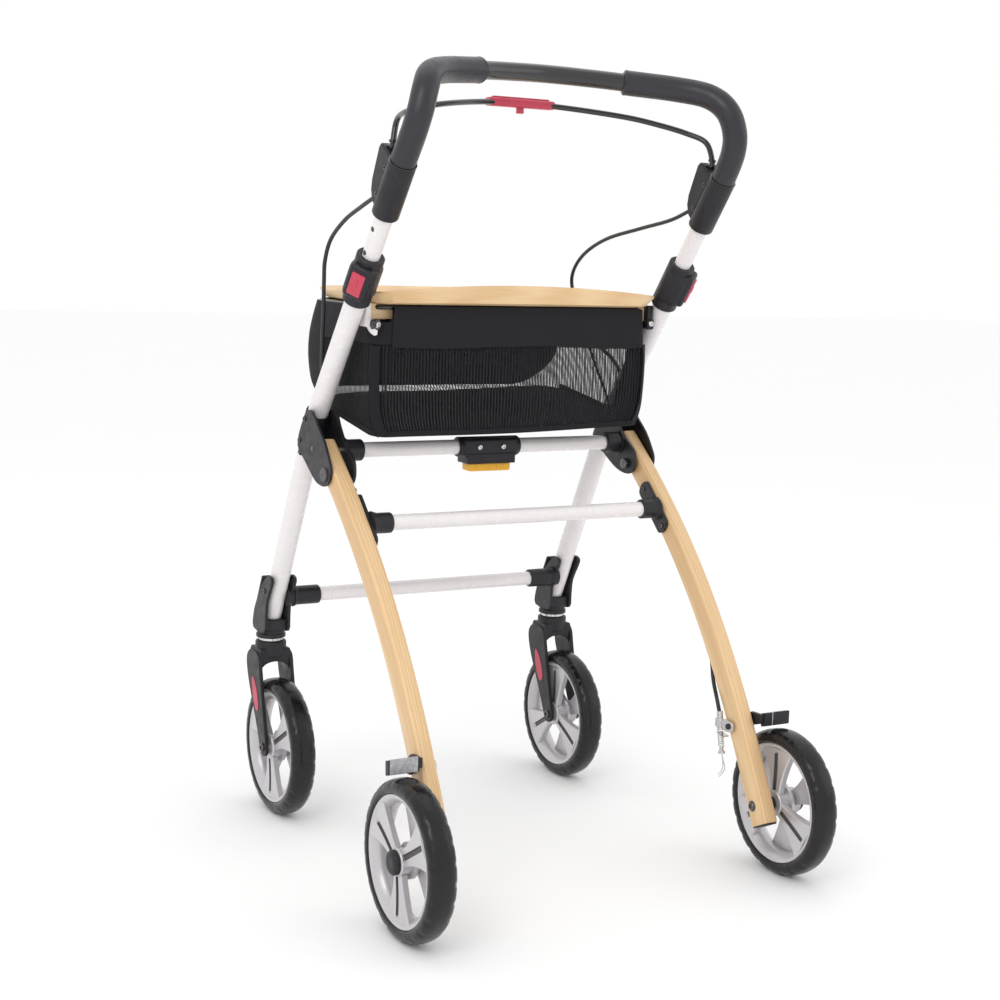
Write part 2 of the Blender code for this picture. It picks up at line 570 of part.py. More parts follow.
def tray_ring(inset, base, share):
    """One loop of the tray; share is how far up the rim it lies."""
    return [(x * (1 - inset / 0.20), 0.170 + (y - 0.170) * (1 - inset / 0.172),
             base + share * (rim_top(x, y) - base)) for x, y in EDGE]


finish("tray", loft([tray_ring(0.0150, 0.6828, 0), tray_ring(0.0, 0.6828, 0.82), tray_ring(0.0008, 0.6828, 1),
                     tray_ring(0.0040, 0.6828, 1), tray_ring(0.0190, 0.6868, 0)]), "ply", False)

# ------------------------------------------------- origins on the joint axes
AXES = {
    "rear_leg": (0, *PIVOT), "mid_bracket": (0, *PIVOT), "mid_crossbar": (0, *PIVOT),
    "leg_cable": (0, *PIVOT), "rear_axle": (0, *PIVOT), "brake_arm": (0, *BRAKE_PIVOT),
    "rear_tyre": (REAR_X, REAR_Y, WHEEL_R), "rear_rim": (REAR_X, REAR_Y, WHEEL_R),
    "front_tyre": (FRONT_X, FRONT_Y, WHEEL_R), "front_rim": (FRONT_X, FRONT_Y, WHEEL_R),
    "caster_fork": (FRONT_X, SWIVEL_Y, 0.2262), "brake_bar": (0, *BRAKE_HINGE),
    "height_button": quarter_point(0.7160, 1.0, 0.0227), "lock_pin": (0.2080, *LOCK),
    "release_handle": (0, BAR_Y, 0.4755), "tray": (0, 0.170, 0.6828),
    "inner_tube": tube_point(0.787), "handle_sleeve": tube_point(0.787), "brake_box": tube_point(0.787),
    "handle_bar": (0, *tube_point(0.787).yz), "grip": tube_point(0.787),
}
for node in parts.objects:
    kind, _, tag = node.name.rpartition("_")
    known = kind if kind in AXES else node.name
    known = "brake_bar" if node.name == "brake_bar_clip" else known
    pivot = Vector(AXES.get(known, (0, 0, 0)))
    if tag == "L":
        pivot.x = -pivot.x
    node.data.transform(Matrix.Translation(-pivot))
    node.location = pivot + CENTER
for cutter in tools.objects:
    cutter.location = CENTER
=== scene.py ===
"""Looks for the rollator walker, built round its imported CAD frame.

Metres.  +X is the user's right, +Y the direction of travel, +Z up, floor at z = 0.
Numbers that repeat the CAD use the CAD source's own origin; SHIFT moves them into the frame.
"""
import json
import math

import bmesh
import bpy
from mathutils import Matrix, Vector


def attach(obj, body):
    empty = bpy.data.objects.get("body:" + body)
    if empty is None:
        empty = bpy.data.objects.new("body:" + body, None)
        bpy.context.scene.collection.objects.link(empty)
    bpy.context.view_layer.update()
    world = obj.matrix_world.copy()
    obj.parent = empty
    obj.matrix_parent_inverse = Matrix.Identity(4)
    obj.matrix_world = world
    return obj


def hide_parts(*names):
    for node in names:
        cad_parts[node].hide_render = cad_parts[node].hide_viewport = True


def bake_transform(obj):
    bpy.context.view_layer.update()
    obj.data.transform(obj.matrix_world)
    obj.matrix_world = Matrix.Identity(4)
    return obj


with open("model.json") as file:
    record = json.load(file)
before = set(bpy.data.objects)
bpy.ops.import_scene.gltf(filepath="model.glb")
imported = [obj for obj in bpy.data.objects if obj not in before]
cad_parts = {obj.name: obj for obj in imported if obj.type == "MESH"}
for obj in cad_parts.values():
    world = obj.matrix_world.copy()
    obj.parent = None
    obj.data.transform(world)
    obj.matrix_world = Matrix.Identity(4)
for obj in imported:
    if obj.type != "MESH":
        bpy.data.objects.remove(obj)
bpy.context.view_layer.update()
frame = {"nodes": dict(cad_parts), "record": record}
BODY = {node: body for body, nodes in frame["record"]["behaviour"]["bodies"].items() for node in nodes}
SHIFT = Vector((0.0, -0.0094, 0.0))
SIDES = {"L": -1.0, "R": 1.0}

TUBE_X, TUBE_R = 0.2179, 0.0130
BEND_Y, BEND_Z = 0.1373, 0.5297
LOW_SLOPE, TOP_SLOPE = -0.4879, -0.745
BAR_R = 0.0095
UP = Vector((0.0, TOP_SLOPE, 1.0)).normalized()
AHEAD = Vector((0.0, UP.z, -UP.y))
LOW_UP = Vector((0.0, LOW_SLOPE, 1.0)).normalized()
LOW_AHEAD = Vector((0.0, LOW_UP.z, -LOW_UP.y))
TILT = math.atan2(-UP.y, UP.z)
LOW_TILT = math.atan2(-LOW_UP.y, LOW_UP.z)
LEG_X = 0.2199
PIVOT = (0.0650, 0.4745)
LOCK = (0.0866, 0.5007)
BRAKE_PIVOT = (-0.1832, 0.1774)
WHEEL_R = 0.0900
REAR_X, REAR_Y = 0.2562, -0.2332
FRONT_X, FRONT_Y, SWIVEL_Y = 0.2180, 0.2331, 0.2705
LOW_BAR = (0.2464, 0.2884)
MID_BAR = (-0.0051, 0.4241)


# ------------------------------------------------------------------ camera
def look(position, yaw, pitch, roll, lens, shift):
    data = bpy.data.cameras.new("camera")
    data.sensor_width = 36.0
    data.lens = lens
    data.shift_x, data.shift_y = shift
    data.clip_start = 0.05
    seer = bpy.data.objects.new("camera", data)
    bpy.context.scene.collection.objects.link(seer)
    ahead = Vector((math.sin(yaw) * math.cos(pitch), math.cos(yaw) * math.cos(pitch), math.sin(pitch)))
    right = ahead.cross(Vector((0, 0, 1))).normalized()
    up = right.cross(ahead)
    level = right * math.cos(roll) + up * math.sin(roll)
    top = up * math.cos(roll) - right * math.sin(roll)
    turn = Matrix((level, top, -ahead)).transposed()
    seer.matrix_world = Matrix.Translation(Vector(position)) @ turn.to_4x4()
    bpy.context.scene.camera = seer


look((-1.0954, -1.9154, 0.7631), math.radians(29.8254), math.radians(-8.1678), math.radians(1.9326),
     64.195, (-0.01681, -0.00378))


# --------------------------------------------------------------- materials
class Nodes:
    """A short way to write one material's node tree."""

    def __init__(self, name):
        self.material = bpy.data.materials.new(name)
        self.material.use_nodes = True
        self.tree = self.material.node_tree
        self.shader = self.tree.nodes["Principled BSDF"]

    def add(self, kind, values=None, **settings):
        made = self.tree.nodes.new(kind)
        for key, value in settings.items():
            setattr(made, key, value)
        for key, value in (values or {}).items():
            if isinstance(value, bpy.types.NodeSocket):
                self.tree.links.new(value, made.inputs[key])
            else:
                made.inputs[key].default_value = value
        return made

    def link(self, output, key):
        self.tree.links.new(output, self.shader.inputs[key])

    def noise(self, vector, scale, detail=3.0, roughness=0.55):
        return self.add("ShaderNodeTexNoise", {"Vector": vector, "Scale": scale, "Detail": detail,
                                               "Roughness": roughness}).outputs["Fac"]

    def spread(self, value, low, high, to_low, to_high):
        return self.add("ShaderNodeMapRange", {"Value": value, "From Min": low, "From Max": high,
                                               "To Min": to_low, "To Max": to_high}).outputs["Result"]

    def mix(self, factor, first, second, blend="MIX"):
        made = self.add("ShaderNodeMix", data_type="RGBA", blend_type=blend)
        for key, value in ((0, factor), (6, first), (7, second)):
            if isinstance(value, bpy.types.NodeSocket):
                self.tree.links.new(value, made.inputs[key])
            else:
                made.inputs[key].default_value = value
        return made.outputs[2]

    def math(self, operation, first, second=0.0, third=0.0):
        made = self.add("ShaderNodeMath", operation=operation)
        for key, value in enumerate((first, second, third)):
            if isinstance(value, bpy.types.NodeSocket):
                self.tree.links.new(value, made.inputs[key])
            else:
                made.inputs[key].default_value = value
        return made.outputs[0]

    def place(self):
        return self.add("ShaderNodeTexCoord").outputs["Object"]

    def stretched(self, vector, scale):
        return self.add("ShaderNodeMapping", {"Vector": vector, "Scale": scale}).outputs["Vector"]

    def bump(self, height, strength, distance=0.001, under=None):
        values = {"Height": height, "Strength": strength, "Distance": distance}
        if under is not None:
            values["Normal"] = under
        return self.add("ShaderNodeBump", values).outputs["Normal"]


def tone(color, factor):
    return tuple(min(1.0, c * factor) for c in color[:3]) + (1.0,)


def surface(name, color, roughness, metallic=0.0, tint=0.10, pore=1800.0, depth=0.12, worn=1.6, coat=0.0,
            patchy=0.10, specular=0.5):
    """Moulded, painted or metal finish: drifting colour, fine pores, patchy gloss, lighter edges."""
    n = Nodes(name)
    at = n.place()
    drift = n.spread(n.noise(at, 22.0, 4.0), 0.3, 0.7, 0.0, 1.0)
    base = n.mix(drift, tone(color, 1 - tint), tone(color, 1 + tint))
    edge = n.spread(n.add("ShaderNodeNewGeometry").outputs["Pointiness"], 0.52, 0.60, 0.0, 1.0)
    rub = n.math("MULTIPLY", edge, n.spread(n.noise(at, 260.0, 5.0), 0.40, 0.65, 0.0, 0.8))
    n.link(n.mix(rub, base, tone(color, worn)), "Base Color")
    n.link(n.spread(n.noise(at, 75.0, 5.0), 0.3, 0.7, max(0.03, roughness - patchy), roughness + patchy),
           "Roughness")
    n.link(n.bump(n.noise(at, pore, 2.0), depth, 0.0004), "Normal")
    n.shader.inputs["Metallic"].default_value = metallic
    n.shader.inputs["Coat Weight"].default_value = coat
    n.shader.inputs["Specular IOR Level"].default_value = specular
    return n.material


def wood(name, light, dark, along, layers):
    """Clear-lacquered wood: long fibres, drifting bands, pores and thin glue lines between layers."""
    n = Nodes(name)
    if along == "Z":
        at = n.add("ShaderNodeAttribute", attribute_name="grain").outputs["Vector"]
        fibres, bands = (520.0, 520.0, 22.0), (60.0, 34.0, 3.4)
        depth_axis = n.add("ShaderNodeSeparateXYZ", {"Vector": at}).outputs["Y"]
    else:
        at = n.place()
        fibres, bands = (16.0, 420.0, 420.0), (2.6, 26.0, 26.0)
        depth_axis = n.add("ShaderNodeSeparateXYZ", {"Vector": at}).outputs["Z"]
    fine = n.noise(n.stretched(at, fibres), 1.0, 5.0, 0.62)
    broad = n.noise(n.stretched(at, bands), 1.0, 4.0, 0.50)
    wide = n.stretched(at, tuple(v * 1.4 for v in bands))
    figure = n.add("ShaderNodeTexWave", {"Vector": wide, "Scale": 0.9, "Distortion": 7.0,
                                         "Detail": 3.0}).outputs["Fac"]
    blend = n.math("ADD", n.math("MULTIPLY", broad, 0.55), n.math("MULTIPLY", figure, 0.25))
    blend = n.math("ADD", blend, n.math("MULTIPLY", fine, 0.35))
    color = n.mix(n.spread(blend, 0.30, 0.85, 0.0, 1.0), light, dark)
    specks = n.noise(n.stretched(at, tuple(v * 1.9 for v in fibres)), 1.0, 2.0)
    pores = n.spread(specks, 0.64, 0.74, 0.0, 0.40)
    color = n.mix(pores, color, tone(dark, 0.62))
    glue = n.math("PINGPONG", n.math("ADD", depth_axis, 1.0), layers)
    line = n.spread(glue, 0.0, 0.00022, 0.20, 0.0)
    color = n.mix(line, color, tone(dark, 0.55))
    n.link(color, "Base Color")
    n.link(n.spread(broad, 0.3, 0.7, 0.34, 0.48), "Roughness")
    n.link(n.bump(fine, 0.14, 0.0006), "Normal")
    n.shader.inputs["Coat Weight"].default_value = 0.18
    n.shader.inputs["Coat Roughness"].default_value = 0.30
    return n.material


def cloth(name, color, open_weave):
    """Basket cloth: ribs up the panel and threads across it, closed cloth or see-through net; the rib crests carry
    a painted highlight.
    """
    n = Nodes(name)
    at = n.add("ShaderNodeAttribute", attribute_name="weave").outputs["Vector"]
    parts = n.add("ShaderNodeSeparateXYZ", {"Vector": at})
    rib_pitch = 0.0043 if open_weave else 0.0011
    wander = n.math("MULTIPLY", n.noise(at, 40.0, 2.0), 0.0016)
    rib = n.math("PINGPONG", n.math("ADD", parts.outputs["X"], n.math("ADD", wander, 4.0)), rib_pitch / 2)
    thread = n.math("PINGPONG", n.math("ADD", parts.outputs["Y"], 4.0), 0.0007)
    rib_high = n.spread(rib, 0.0, rib_pitch / 2, 1.0, 0.0)
    thread_high = n.spread(thread, 0.0, 0.0007, 1.0, 0.0)
    drift = n.spread(n.noise(at, 30.0, 4.0), 0.3, 0.7, 0.0, 1.0)
    base = n.mix(drift, tone(color, 0.75), tone(color, 1.25))
    # The rib crests are painted up to 2.6 times lighter than the cloth: a painted highlight on the crests, with
    # painted shade left in the hollows between them.
    n.link(n.mix(n.math("MULTIPLY", rib_high, 0.55), base, tone(color, 2.6)), "Base Color")
    n.link(n.spread(drift, 0.0, 1.0, 0.70, 0.90), "Roughness")
    height = n.math("MAXIMUM", rib_high, n.math("MULTIPLY", thread_high, 0.7))
    n.link(n.bump(height, 0.45, 0.0006), "Normal")
    n.shader.inputs["Sheen Weight"].default_value = 0.03
    n.shader.inputs["Sheen Roughness"].default_value = 0.5
    n.shader.inputs["Specular IOR Level"].default_value = 0.18
    if open_weave:
        gap = n.math("MULTIPLY", n.spread(rib, 0.0005, 0.0009, 0.0, 1.0),
                     n.spread(thread, 0.00018, 0.00034, 0.0, 1.0))
        n.link(n.math("SUBTRACT", 1.0, n.math("MULTIPLY", gap, open_weave)), "Alpha")
    return n.material


WHITE = surface("white_paint", (0.80, 0.765, 0.765, 1), 0.24, tint=0.02, pore=900, depth=0.04, worn=1.05,
                coat=0.3)
CHARCOAL = surface("charcoal_plastic", (0.0150, 0.0140, 0.0175, 1), 0.42, tint=0.14, depth=0.16, worn=1.9,
                   specular=0.34)
GLOSS = surface("black_gloss", (0.0085, 0.0085, 0.0100, 1), 0.16, tint=0.15, depth=0.03, worn=2.0, coat=0.5,
                patchy=0.05)
FOAM = surface("grip_foam", (0.0175, 0.0160, 0.0225, 1), 0.32, tint=0.10, pore=3000, depth=0.16, worn=1.3)
TYRE = surface("tyre_rubber", (0.0075, 0.0070, 0.0080, 1), 0.26, tint=0.22, pore=700, depth=0.06, worn=2.0,
               coat=0.15, specular=0.3)
SILVER = surface("silver_rim", (0.57, 0.555, 0.570, 1), 0.32, metallic=0.45, tint=0.02, pore=1400, depth=0.02,
                 worn=1.15, patchy=0.04)
# Dark grey for the spoke slots, where it is painted shade, and for the washers, where it is their own colour.
GROOVE = surface("rim_groove", (0.085, 0.080, 0.082, 1), 0.50, tint=0.15)
DARK_STEEL = surface("dark_steel", (0.10, 0.095, 0.095, 1), 0.28, metallic=0.9, tint=0.10, depth=0.05,
                     worn=2.2)
STEEL = surface("bright_steel", (0.62, 0.61, 0.60, 1), 0.24, metallic=1.0, tint=0.08, depth=0.05, worn=1.2)
# Grey for the left shoe's face: a painted sheen on the black shoe.
SHOE_SHEEN_GREY = surface("shoe_sheen_plate", (0.33, 0.325, 0.345, 1), 0.38, metallic=0.2, tint=0.04, depth=0.04,
                     worn=1.5, patchy=0.04)
RED = surface("red_plastic", (0.52, 0.045, 0.085, 1), 0.34, tint=0.10, worn=1.3)
YELLOW = surface("yellow_plastic", (0.80, 0.42, 0.025, 1), 0.36, tint=0.08, worn=1.2)
SHEATH = surface("cable_sheath", (0.016, 0.016, 0.018, 1), 0.38, tint=0.2, worn=1.8)
OAK = wood("oak", (0.80, 0.565, 0.315, 1), (0.62, 0.385, 0.175, 1), "Z", 0.0030)
PLY = wood("ply", (0.85, 0.625, 0.365, 1), (0.70, 0.455, 0.220, 1), "X", 0.0012)
CLOTH = cloth("basket_cloth", (0.0105, 0.0105, 0.0125, 1), 0.0)
NET = cloth("basket_net", (0.012, 0.012, 0.014, 1), 0.92)
WEB = cloth("basket_binding", (0.009, 0.009, 0.011, 1), 0.0)


# ----------------------------------------------------------------- shaping
def circle(radius, segments=32):
    step = 2 * math.pi / segments
    return [(radius * math.cos(i * step), radius * math.sin(i * step)) for i in range(segments)]


def oblong(width, depth, radius, per_corner=6):
    points = []
    for k in range(4):
        sx, sy = ((1, 1), (-1, 1), (-1, -1), (1, -1))[k]
        cx, cy = sx * (width / 2 - radius), sy * (depth / 2 - radius)
        for i in range(per_corner):
            a = math.radians(90 * k + 90 * i / (per_corner - 1))
            points.append((cx + radius * math.cos(a), cy + radius * math.sin(a)))
    return points


def smooth_path(points, steps):
    """A Catmull-Rom line through the given points."""
    pts = [Vector(p) for p in points]
    pts = [pts[0] * 2 - pts[1]] + pts + [pts[-1] * 2 - pts[-2]]
    line = []
    for i in range(1, len(pts) - 2):
        a, b, c, d = pts[i - 1:i + 3]
        for k in range(steps):
            t = k / steps
            line.append(0.5 * ((2 * b) + (c - a) * t + (2 * a - 5 * b + 4 * c - d) * t * t
                               + (3 * b - a - 3 * c + d) * t ** 3))
    line.append(pts[-2])
    return line


def frames(path, across):
    found = []
    first = Vector(across)
    for i, p in enumerate(path):
        t = (path[min(i + 1, len(path) - 1)] - path[max(i - 1, 0)]).normalized()
        first = (first - t * first.dot(t)).normalized()
        found.append((p, first.copy(), t.cross(first)))
    return found


def loft(rings, closed=False, grain=None, caps=True):
    bm = bmesh.new()
    layer = bm.verts.layers.float_vector.new("grain") if grain else None
    rows = []
    for r, ring in enumerate(rings):
        row = [bm.verts.new(p) for p in ring]
        if grain:
            for v, g in zip(row, grain[r]):
                v[layer] = g
        rows.append(row)
    count = len(rows[0])
    pairs = list(zip(rows, rows[1:]))
    if closed:
        pairs.append((rows[-1], rows[0]))
    for a, b in pairs:
        for i in range(count):
            j = (i + 1) % count
            bm.faces.new((a[i], a[j], b[j], b[i]))
    if caps and not closed:
        bm.faces.new(rows[0])
        bm.faces.new(rows[-1])
    return bm


def sweep(path, section, across=(1, 0, 0), ease=0.0006, sizes=None):
    """A bar along a path with eased ends; sizes scales the section along the way."""
    path = [Vector(p) for p in path]
    reach = max(math.hypot(a, b) for a, b in section)
    sizes = list(sizes) if sizes else [1.0] * len(path)
    if ease:
        head = path[0] + (path[1] - path[0]).normalized() * ease
        tail = path[-1] + (path[-2] - path[-1]).normalized() * ease
        path = [path[0], head] + path[1:-1] + [tail, path[-1]]
        sizes = [sizes[0] * (1 - ease / reach), sizes[0]] + sizes[1:-1] + [sizes[-1],
                                                                          sizes[-1] * (1 - ease / reach)]
    rings, grain, gone = [], [], 0.0
    for k, (p, n, b) in enumerate(frames(path, across)):
        gone += (p - path[k - 1]).length if k else 0.0
        rings.append([p + n * a * sizes[k] + b * c * sizes[k] for a, c in section])
        grain.append([(a * sizes[k], c * sizes[k], gone) for a, c in section])
    return loft(rings, grain=grain)


def pipe(path, outer, inner, segments=32, across=(1, 0, 0)):
    path = [Vector(p) for p in path]
    ease = 0.0005
    turned_frames = frames(path, across)
    rows = []
    for k, (p, n, b) in enumerate(turned_frames):
        t = n.cross(b)
        if k in (0, len(path) - 1):
            inward = t * ease if k == 0 else -t * ease
            first, last = (outer - ease, p), (outer, p + inward)
            for r, q in ((first, last) if k == 0 else (last, first)):
                rows.append([q + n * a + b * c for a, c in circle(r, segments)])
        else:
            rows.append([p + n * a + b * c for a, c in circle(outer, segments)])
    for p, n, b in reversed(turned_frames):
        rows.append([p + n * a + b * c for a, c in circle(inner, segments)])
    return loft(rows, closed=True)


def slab(outline, low, high, axis="X"):
    """A flat outline given a thickness along an axis."""
    def ring(h):
        if axis == "X":
            return [(h, a, b) for a, b in outline]
        if axis == "Y":
            return [(a, h, b) for a, b in outline]
        return [(a, b, h) for a, b in outline]
    return loft([ring(low), ring(high)])


def curved(outline, steps=5):
    """A closed outline with its corners drawn as one smooth line."""
    pts = [Vector((a, b, 0)) for a, b in outline]
    ring = []
    for i in range(len(pts)):
        a, b, c, d = (pts[(i + k - 1) % len(pts)] for k in range(4))
        for k in range(steps):
            t = k / steps
            p = 0.5 * ((2 * b) + (c - a) * t + (2 * a - 5 * b + 4 * c - d) * t * t
                       + (3 * b - a - 3 * c + d) * t ** 3)
            ring.append((p.x, p.y))
    return ring


def block(center, size, turn=0.0, round_off=0.0015, segments=3):
    bm = bmesh.new()
    bmesh.ops.create_cube(bm, size=1.0)
    bmesh.ops.scale(bm, vec=size, verts=bm.verts)
    if round_off:
        bmesh.ops.bevel(bm, geom=list(bm.edges), offset=round_off, segments=segments, affect="EDGES",
                        profile=0.5)
    bmesh.ops.rotate(bm, matrix=Matrix.Rotation(turn, 3, "X"), verts=bm.verts)
    bmesh.ops.translate(bm, vec=center, verts=bm.verts)
    return bm


def turned(profile, start, direction, segments=32):
    """A body turned about a line; profile is (along, radius) from the start point."""
    start, axis = Vector(start), Vector(direction).normalized()
    side = axis.orthogonal().normalized()
    other = axis.cross(side)
    rings = []
    for along, r in profile:
        rings.append([start + axis * along + side * a + other * b for a, b in circle(r, segments)])
    return loft(rings)


def spin(profile, center, segments):
    """A ring turned about the X axis; profile is (x, radius), or a function of the step number."""
    rings = []
    for i in range(segments):
        a = 2 * math.pi * i / segments
        points = profile(i) if callable(profile) else profile
        rings.append([(center[0] + x, center[1] + r * math.cos(a), center[2] + r * math.sin(a))
                      for x, r in points])
    return loft(rings, closed=True)


def join(*bodies):
    """Several bodies in one mesh."""
    whole = bmesh.new()
    for one in bodies:
        held = bpy.data.meshes.new("held")
        one.to_mesh(held)
        one.free()
        whole.from_mesh(held)
        bpy.data.meshes.remove(held)
    return whole


def screw(center, direction, radius=0.0032, height=0.0018):
    """A round head with a hollow key socket."""
    profile = ((-0.002, radius * 0.7), (0.0, radius), (height * 0.55, radius), (height, radius * 0.78),
               (height, radius * 0.46), (height * 0.25, radius * 0.42), (height * 0.2, radius * 0.05))
    return turned(profile, center, direction, 24)


def tube_point(z, side=1.0, offset=0.0):
    slope = LOW_SLOPE if z < BEND_Z else TOP_SLOPE
    return Vector((side * TUBE_X, BEND_Y + slope * (z - BEND_Z) + offset, z))


def tube_bend(side, half=0.030, steps=12):
    a, b = tube_point(BEND_Z - half, side), tube_point(BEND_Z + half, side)
    mid = Vector((side * TUBE_X, BEND_Y, BEND_Z))
    stops = [i / steps for i in range(steps + 1)]
    return [a * (1 - t) ** 2 + mid * 2 * t * (1 - t) + b * t * t for t in stops]


def leg_point(z, side=1.0, forward=0.0, x=LEG_X):
    y = -0.2794 + 0.4905 * z - 0.1197 * z * z + 1.276 * z ** 3
    slope = 0.4905 - 0.2394 * z + 3.828 * z * z
    return Vector((side * x, y, z)) + Vector((0, 1, -slope)).normalized() * forward


def beside(z, forward, x):
    p = tube_point(z) + AHEAD * forward
    return Vector((x, p.y, p.z))


def facing(z, side, out, size, round_off, segments=2):
    """A box beside the upper tube, turned outward and toward the user; its first size lies that way."""
    along = Matrix.Rotation(TILT, 3, "X") @ Vector((side, -1.0, 0)).normalized()
    bm = block((0, 0, 0), size, 0, round_off, segments)
    turn = Matrix.Rotation(TILT, 3, "X") @ Matrix.Rotation(-side * math.pi / 4, 3, "Z")
    bmesh.ops.rotate(bm, matrix=turn, verts=bm.verts)
    bmesh.ops.translate(bm, vec=tube_point(z, side) + along * out, verts=bm.verts)
    return bm


def add(name, bm, finish, stands_for=(), body=None, bevel=0.0, angle=38.0, more=(), across=None):
    """Turn a mesh into a finished piece that rides on its body.

    With across given, its placing is baked into the mesh and it rides on no body; the two points are not used.
    """
    stands_for = (stands_for,) if isinstance(stands_for, str) else tuple(stands_for)
    bmesh.ops.recalc_face_normals(bm, faces=bm.faces)
    mesh = bpy.data.meshes.new(name)
    bm.to_mesh(mesh)
    bm.free()
    mesh.transform(Matrix.Translation(SHIFT))
    made = bpy.data.objects.new(name, mesh)
    bpy.context.scene.collection.objects.link(made)
    for one in (finish, *more):
        mesh.materials.append(one)
    mesh.shade_smooth()
    mesh.set_sharp_from_angle(angle=math.radians(angle))
    if bevel:
        step = made.modifiers.new("eased_edges", "BEVEL")
        step.width = bevel
        step.segments = 3
        step.limit_method = "ANGLE"
        step.angle_limit = math.radians(34)
        step.harden_normals = True
    if across:
        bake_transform(made)
    else:
        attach(made, body or BODY[stands_for[0]])
    if stands_for:
        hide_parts(*stands_for)
    return made


# ------------------------------------------------------------- frame tubes
for tag, s in SIDES.items():
    line = [tube_point(0.256, s)] + tube_bend(s) + [tube_point(0.690, s)]
    add(f"frame_tube_{tag}", pipe(line, TUBE_R, 0.0113), WHITE, f"front_tube_{tag}")
    line = [tube_point(0.590, s), tube_point(0.812, s)]
    add(f"sliding_tube_{tag}", pipe(line, 0.0107, 0.0090), WHITE, f"inner_tube_{tag}")
    # The stop holes are black discs on the tube: painted shade standing in for the holes' dark insides.
    holes = []
    for k in range(-2, 2):
        at = tube_point(0.7440 + 0.0268 * k, s)
        out = Vector((s, -0.12, -0.08))
        holes.append(turned(((0.0092, 0.0031), (0.0107, 0.0031), (0.0109, 0.0026)), at, out, 24))
    add(f"stop_holes_{tag}", join(*holes), GLOSS, body="handle")

for node, half, (y, z) in (("upper_crossbar", 0.1968, LOCK), ("lower_crossbar", 0.196, LOW_BAR),
                           ("mid_crossbar", 0.1985, MID_BAR)):
    line = [(-half, y, z), (0, y, z), (half, y, z)]
    add(f"{node}_tube", sweep(line, circle(BAR_R), (0, 0, 1)), WHITE, node)

# --------------------------------------------------------- hinge brackets
OUTER_PLATE = ((0.1190, 0.5480), (0.1060, 0.5465), (0.0930, 0.5340), (0.0700, 0.5150), (0.0530, 0.4930),
               (0.0480, 0.4820), (0.0510, 0.4690), (0.0620, 0.4610), (0.0750, 0.4595), (0.0950, 0.4640),
               (0.1240, 0.4820), (0.1480, 0.4975), (0.1500, 0.5060), (0.1450, 0.5190), (0.1290, 0.5420))
INNER_PLATE = ((0.1190, 0.5480), (0.1040, 0.5465), (0.0930, 0.5300), (0.0740, 0.5090), (0.0520, 0.4950),
               (0.0465, 0.4840), (0.0470, 0.4720), (0.0530, 0.4640), (0.0660, 0.4605), (0.0900, 0.4650),
               (0.1180, 0.4790), (0.1430, 0.4950), (0.1480, 0.5040), (0.1420, 0.5190), (0.1270, 0.5420))
for tag, s in SIDES.items():
    saddle = [tube_point(0.480, s)] + tube_bend(s) + [tube_point(0.562, s)]
    parts = [slab(curved(OUTER_PLATE, 3), s * 0.2314, s * 0.2346),
             slab(curved(INNER_PLATE, 3), s * 0.2006, s * 0.2042),
             pipe([p for p in saddle if 0.497 < p.z < 0.547], 0.0152, TUBE_R + 0.0004),
             block((s * 0.2176, 0.1410, 0.5110), (0.0290, 0.0080, 0.0500), math.radians(29), 0.0015),
             turned(((0, 0.0128), (0.0010, 0.0135), (0.0250, 0.0135)), (s * 0.1770, *LOCK), (s, 0, 0)),
             turned(((0, 0.0155), (0.0030, 0.0155)), (s * 0.1985, *LOCK), (s, 0, 0)),
             ]
    if s < 0:
        parts.append(sweep([(-0.1990, 0.0720, 0.4640), (-0.1990, 0.0580, 0.4560)], circle(0.0022, 12)))
        parts.append(turned(((-0.0036, 0.0015), (-0.0022, 0.0034), (0.0, 0.0040), (0.0022, 0.0034),
                             (0.0036, 0.0015)), (-0.1990, 0.0570, 0.4550), (0, -0.7, -0.7), 16))
    add(f"hinge_{tag}", join(*parts), CHARCOAL, f"hinge_bracket_{tag}", bevel=0.0007)
    heads = []
    for z in (0.5360, 0.5080):
        heads.append(screw((s * 0.2346, tube_point(z).y - 0.004, z), (s, 0, 0), 0.0034))
    add(f"hinge_screws_{tag}", join(*heads), DARK_STEEL, body="frame")
    # A black disc on the plate stands in for a hole: painted shade.
    add(f"hinge_hole_{tag}", turned(((0.0, 0.0030), (0.0003, 0.0034), (0.0004, 0.0010)),
                                    (s * 0.2346, 0.1036, 0.5018), (s, 0, 0), 20), GLOSS, body="frame")
    out = Vector((s, 0, 0))
    bolt = ((-0.0375, 0.0035), (-0.0365, 0.0064), (-0.0332, 0.0068), (-0.0332, 0.0040), (0.0030, 0.0040),
            (0.0030, 0.0054), (0.0052, 0.0054), (0.0060, 0.0044), (0.0060, 0.0026), (0.0042, 0.0022))
    add(f"fold_bolt_head_{tag}", turned(bolt, (s * 0.2316, *PIVOT), out, 28), DARK_STEEL, f"fold_bolt_{tag}")
    ring = ((0.0, 0.0062), (0.0, 0.0086), (0.0018, 0.0086), (0.0026, 0.0078), (0.0026, 0.0060))
    add(f"fold_washer_{tag}", turned(ring, (s * 0.2346, *PIVOT), out, 28), GROOVE, body="frame")

